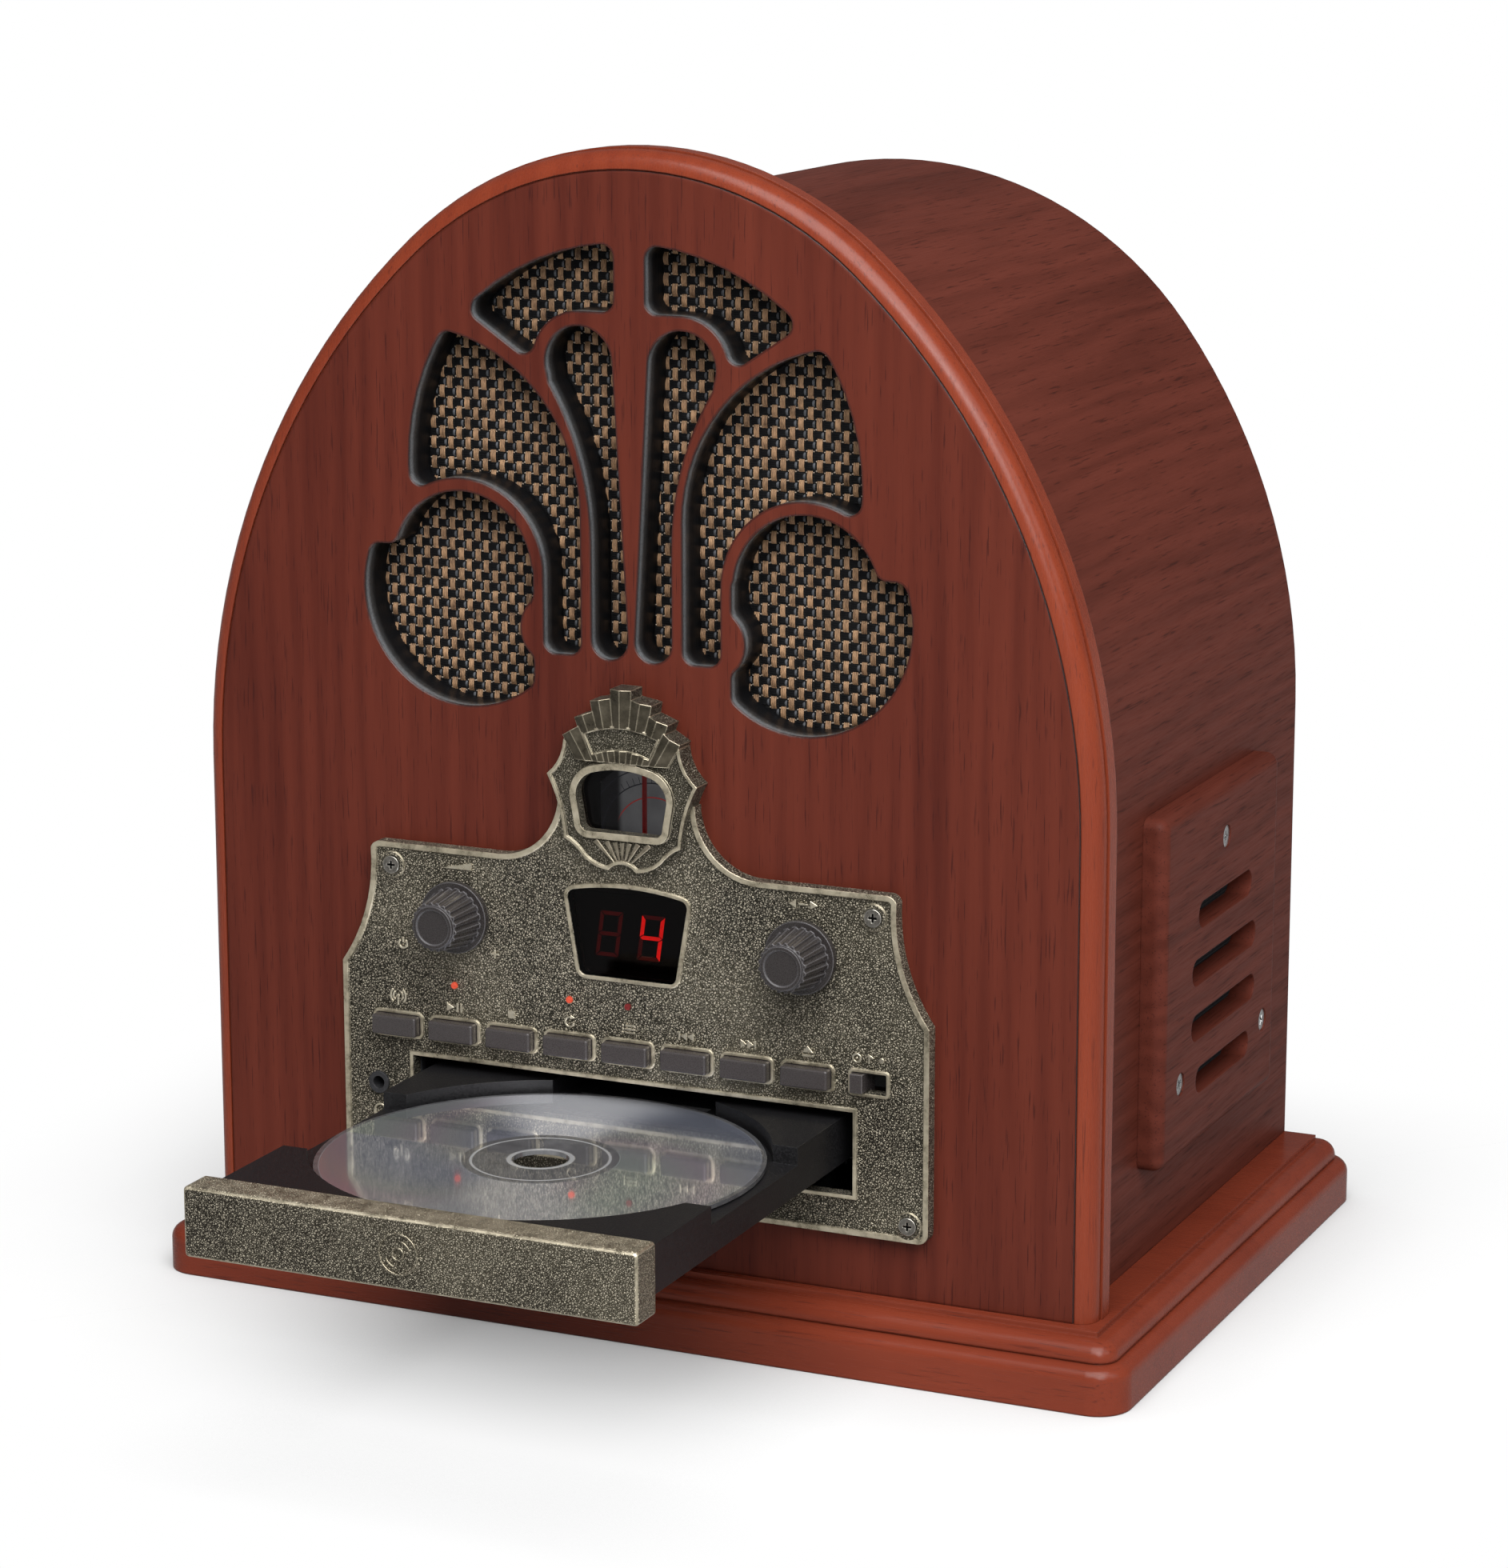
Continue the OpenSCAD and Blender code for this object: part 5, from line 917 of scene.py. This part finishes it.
# Knots beside a bundle of tan strands: place and radius; and the heights of a knot's tip and rim
KNOTS = [(-1.05, 1.25, 0.26), (1.05, 1.25, 0.26), (-1.05, -1.35, 0.30)]
KNOT_TIP, KNOT_RIM = 0.42, 0.1

# The fan's cut-outs, right half, from the fan's middle: circles as (x, z, radius)
CROWN, CROWN_LEFT, CROWN_LOW = (0, 0, 72.4), 4.7, 35.0
DROP_HEAD, DROP_TAIL, DROP_CLEAR = (15.3, 39.8, 10.0), (6.55, -35.0, 5.45), 14.0
DROP_LEFT, DROP_LEAN, DROP_RIGHT, DROP_FLARE_Z, DROP_FLARE = 1.1, 0.056, 12.0, -9.0, 164.0
LEAF_OUTER, LEAF_INNER, LEAF_LOW = (0, 10, 67.5), (64.75, -2, 49.5), -18.5
STEM_X, STEM_Z = (15.3, 26.5), (-40.0, -2.0)
LOBE, LOBE_CLEAR = (51.5, -18.5, 21.3), 25.0
SKIRT, SKIRT_LEFT, SKIRT_TOP = (50.5, -25.3, 31.5), 29.7, -13.2
# Slanting rail between crown and leaf: both its edges at one place, its slope, and its room's stretch
RAIL_X, RAIL_TOP, RAIL_LOW, RAIL_SLOPE, RAIL_ROOM = 31.5, 40.6, 35.2, 0.664, 1.2


def near_petal(x, z, room):
    """Whether a place lies in a cut-out of the fan, or within some room of one."""
    x, z = abs(x), z - FAN_Z
    slant = (x - RAIL_X) * RAIL_SLOPE

    def within(circle):
        return math.hypot(x - circle[0], z - circle[1]) < circle[2] + room

    def clear_of(circle, r):
        return math.hypot(x - circle[0], z - circle[1]) >= r - room

    crown = (within(CROWN) and clear_of(DROP_HEAD, DROP_CLEAR) and x > CROWN_LEFT - room
             and z > RAIL_TOP + slant - room * RAIL_ROOM and z > CROWN_LOW)
    left = DROP_LEFT + (z - DROP_TAIL[1]) * DROP_LEAN
    right = DROP_RIGHT + max(0, z - DROP_FLARE_Z) ** 2 / DROP_FLARE
    drop = (within(DROP_HEAD) or within(DROP_TAIL)
            or (DROP_TAIL[1] < z < DROP_HEAD[1] and left - room < x < right + room))
    leaf = (within(LEAF_OUTER) and within(LEAF_INNER) and z < RAIL_LOW + slant + room * RAIL_ROOM
            and clear_of(LOBE, LOBE_CLEAR) and z > LEAF_LOW)
    stem = STEM_X[0] - room < x < STEM_X[1] + room and STEM_Z[0] - room < z < STEM_Z[1]
    skirt = within(SKIRT) and x > SKIRT_LEFT - room and z < SKIRT_TOP + room
    return crown or drop or leaf or stem or within(LOBE) or skirt


def strand(bm, centre, half_len, half_w, rise, upright, index):
    """One short float of thread, arched out of the cloth."""
    rows = []
    for k in range(STRAND_ROWS):
        t = 2 * k / (STRAND_ROWS - 1) - 1
        out = rise * (1 - END_DROP * t * t)
        row = []
        for s in (-1, 0, 1):
            lift = out * (1.0 if s == 0 else SIDE_HEIGHT)
            u, v = half_len * t, half_w * s * (1 - TAPER * t * t)
            x, z = (centre[0] + v, centre[1] + u) if upright else (centre[0] + u, centre[1] + v)
            row.append(bm.verts.new((x * MM, (CLOTH_Y - lift) * MM, z * MM)))
        rows.append(row)
    for a, b in zip(rows, rows[1:]):
        for i in range(2):
            face = bm.faces.new((a[i], a[i + 1], b[i + 1], b[i]))
            face.material_index = index
            face.smooth = True


def knot(bm, x, z, r):
    tip = bm.verts.new((x * MM, (CLOTH_Y - KNOT_TIP) * MM, z * MM))
    rim = [bm.verts.new(((x + dx * r) * MM, (CLOTH_Y - KNOT_RIM) * MM, (z + dz * r) * MM))
           for dx, dz in ((1, 0), (0, 1), (-1, 0), (0, -1))]
    for i in range(4):
        face = bm.faces.new((rim[i], rim[(i + 1) % 4], tip))
        face.material_index = KNOT


def bundle(bm, i, j, x, z, jog):
    """Three upright tan strands, with knots beside them."""
    for k in (-1, 0, 1):
        half_w = TAN_W + TAN_VARIES * math.sin(i * 3.1 + j * 5.7 + k * 2.2)
        strand(bm, (x + k * TAN_PITCH + jog, z + jog), TAN_LEN, half_w, TAN_RISE, True, TAN)
    for dx, dz, r in KNOTS:
        knot(bm, x + dx + jog, z + dz + jog, r)


def crossing(bm, x, z, jog):
    """Three level black strands, with a grey one over their end as a painted highlight."""
    for k in (-1, 0, 1):
        strand(bm, (x + DARK_SHIFT, z + k * DARK_PITCH + jog), DARK_LEN, DARK_W, DARK_RISE, False, DARK)
    strand(bm, (x + GREY_SHIFT + jog, z + jog), GREY_LEN, GREY_W, GREY_RISE, True, GREY)


def weave():
    bm = bmesh.new()
    for i in COLUMNS:
        for j in ROWS:
            x, z = i * HALF_X, FAN_Z + j * HALF_Z
            if not near_petal(x, z, CUT_ROOM):
                continue
            jog = JOG * math.sin(i * 12.9 + j * 78.2)
            if (i + j) % 2 == 0:
                bundle(bm, i, j, x, z, jog)
            else:
                crossing(bm, x, z, jog)
    bmesh.ops.recalc_face_normals(bm, faces=bm.faces)
    for face in bm.faces:
        if face.normal.y > 0:
            face.normal_flip()
    mesh = bpy.data.meshes.new("grille_weave")
    bm.to_mesh(mesh)
    bm.free()
    return piece("grille_weave", mesh, [
        thread("tan_thread_finish", (0.040, 0.020, 0.010), (0.350, 0.208, 0.112), "Z"),
        thread("black_thread_finish", (0.0015, 0.0015, 0.0018), (0.0060, 0.0060, 0.0066), "X", 0.10),
        thread("pale_knot_finish", (0.16, 0.12, 0.09), (0.40, 0.33, 0.26), "X"),
        thread("grey_highlight_thread_finish", (0.014, 0.015, 0.017), (0.085, 0.090, 0.100), "Z"),
    ], "cabinet")


WEAVE = weave()


# Floor and light, in metres

FLOOR_HALF, FLOOR_Z = 30, -0.0002
PLINTH_HALF_W, PLINTH_HALF_D = 0.1475, 0.106
# The floor turns from its shaded tone to white within the first reach, and its white carries painted shadow
# under what is near
SHADE_REACH, SHADE_LEAST, NEAR_REACH = 0.12, 0.45, 0.06
# Glossy surfaces see a dimmer floor
MIRRORED_FLOOR = 0.4
AMBIENT = 0.14
LIGHT_AIM = (0, 0, 0.15)


def floor():
    bm = bmesh.new()
    bmesh.ops.create_grid(bm, x_segments=1, y_segments=1, size=FLOOR_HALF)
    mesh = bpy.data.meshes.new("floor")
    bm.to_mesh(mesh)
    bm.free()
    thing = bpy.data.objects.new("floor", mesh)
    thing.location.z = FLOOR_Z
    bpy.context.scene.collection.objects.link(thing)
    tree = Tree("floor_finish")
    x, y, _ = tree.split(tree.place())
    dx, dy = [tree.math("MAXIMUM", tree.math("SUBTRACT", tree.math("ABSOLUTE", v), half), 0.0)
              for v, half in ((x, PLINTH_HALF_W), (y, PLINTH_HALF_D))]
    far = tree.ease(tree.reach(dx, dy), 0.0, SHADE_REACH, SHADE_LEAST, 1.0)
    # Painted shadow: the white floor dims where parts nearby hide the sky
    open_sky = tree.add("ShaderNodeAmbientOcclusion", {"Distance": NEAR_REACH}, samples=8).outputs["AO"]
    path = tree.add("ShaderNodeLightPath").outputs
    seen = tree.math("MAXIMUM", path["Is Camera Ray"], path["Is Transmission Ray"])
    plain = tree.add("ShaderNodeBsdfDiffuse", {"Color": (0.68, 0.68, 0.68)})
    white = tree.add("ShaderNodeEmission", {"Color": (1, 1, 1), "Strength": open_sky})
    dim = tree.add("ShaderNodeEmission", {"Color": (1, 1, 1), "Strength": MIRRORED_FLOOR})
    shown = tree.add("ShaderNodeMixShader", {
        0: tree.math("MULTIPLY", far, seen), 1: plain.outputs["BSDF"], 2: white.outputs["Emission"]})
    joined = tree.add("ShaderNodeMixShader", {
        0: path["Is Glossy Ray"], 1: shown.outputs["Shader"], 2: dim.outputs["Emission"]})
    tree.replace_shader(joined.outputs["Shader"])
    mesh.materials.append(tree.material)


def sky(ambient):
    """White to the camera, a dim even light to everything else."""
    world = bpy.data.worlds.new("studio")
    bpy.context.scene.world = world
    world.use_nodes = True
    nodes, links = world.node_tree.nodes, world.node_tree.links
    dim = nodes["Background"]
    dim.inputs["Color"].default_value = (1, 1, 1, 1)
    dim.inputs["Strength"].default_value = ambient
    white = nodes.new("ShaderNodeBackground")
    white.inputs["Color"].default_value = (1, 1, 1, 1)
    white.inputs["Strength"].default_value = 1.0
    path = nodes.new("ShaderNodeLightPath")
    joined = nodes.new("ShaderNodeMixShader")
    links.new(path.outputs["Is Camera Ray"], joined.inputs[0])
    links.new(dim.outputs[0], joined.inputs[1])
    links.new(white.outputs[0], joined.inputs[2])
    links.new(joined.outputs[0], nodes["World Output"].inputs["Surface"])


def softbox(name, at, w, h, power):
    lamp = bpy.data.lights.new(name, "AREA")
    lamp.shape = "RECTANGLE"
    lamp.size, lamp.size_y = w, h
    lamp.energy = power
    thing = bpy.data.objects.new(name, lamp)
    thing.location = at
    thing.rotation_euler = (Vector(LIGHT_AIM) - Vector(at)).to_track_quat("-Z", "Y").to_euler()
    bpy.context.scene.collection.objects.link(thing)


floor()
sky(AMBIENT)
softbox("key_light", (1.2, -1.8, 1.2), 1.0, 1.0, 22)
softbox("side_light", (1.9, -0.5, 1.3), 0.9, 1.2, 9)
softbox("top_light", (0.50, -1.15, 1.70), 2.0, 1.6, 76)


# Camera as the photograph was taken: its frame, focal length and middle in pixels, its angles in
# degrees, the place it looks at in millimetres and its distance in metres

FRAME_W, FRAME_H = 1885, 1960
FOCAL, MIDDLE_X, MIDDLE_Y = 5478.55, 940.555, 932.015
AZIMUTH, ELEVATION, ROLL = 24.521, 12.222, -0.067
LOOK_AT, DISTANCE = Vector((-6.572, 0, 147.331)), 1.27923
SENSOR = 36


def camera():
    az, el, roll = [math.radians(angle) for angle in (AZIMUTH, ELEVATION, ROLL)]
    back = Vector((math.sin(az) * math.cos(el), -math.cos(az) * math.cos(el), math.sin(el)))
    right = Vector((math.cos(az), math.sin(az), 0))
    up = back.cross(right)
    r = right * math.cos(roll) + up * math.sin(roll)
    u = up * math.cos(roll) - right * math.sin(roll)
    data = bpy.data.cameras.new("camera")
    data.sensor_width = SENSOR
    data.lens = FOCAL * SENSOR / FRAME_H
    data.shift_x = (FRAME_W / 2 - MIDDLE_X) / FRAME_H
    data.shift_y = (MIDDLE_Y - FRAME_H / 2) / FRAME_H
    data.clip_end = 100
    thing = bpy.data.objects.new("camera", data)
    eye = LOOK_AT * MM + back * DISTANCE
    turn = Matrix((r, u, back)).transposed().to_4x4()
    thing.matrix_world = Matrix.Translation(eye) @ turn
    bpy.context.scene.collection.objects.link(thing)
    bpy.context.scene.camera = thing


camera()
bpy.context.scene.view_settings.view_transform = "Standard"
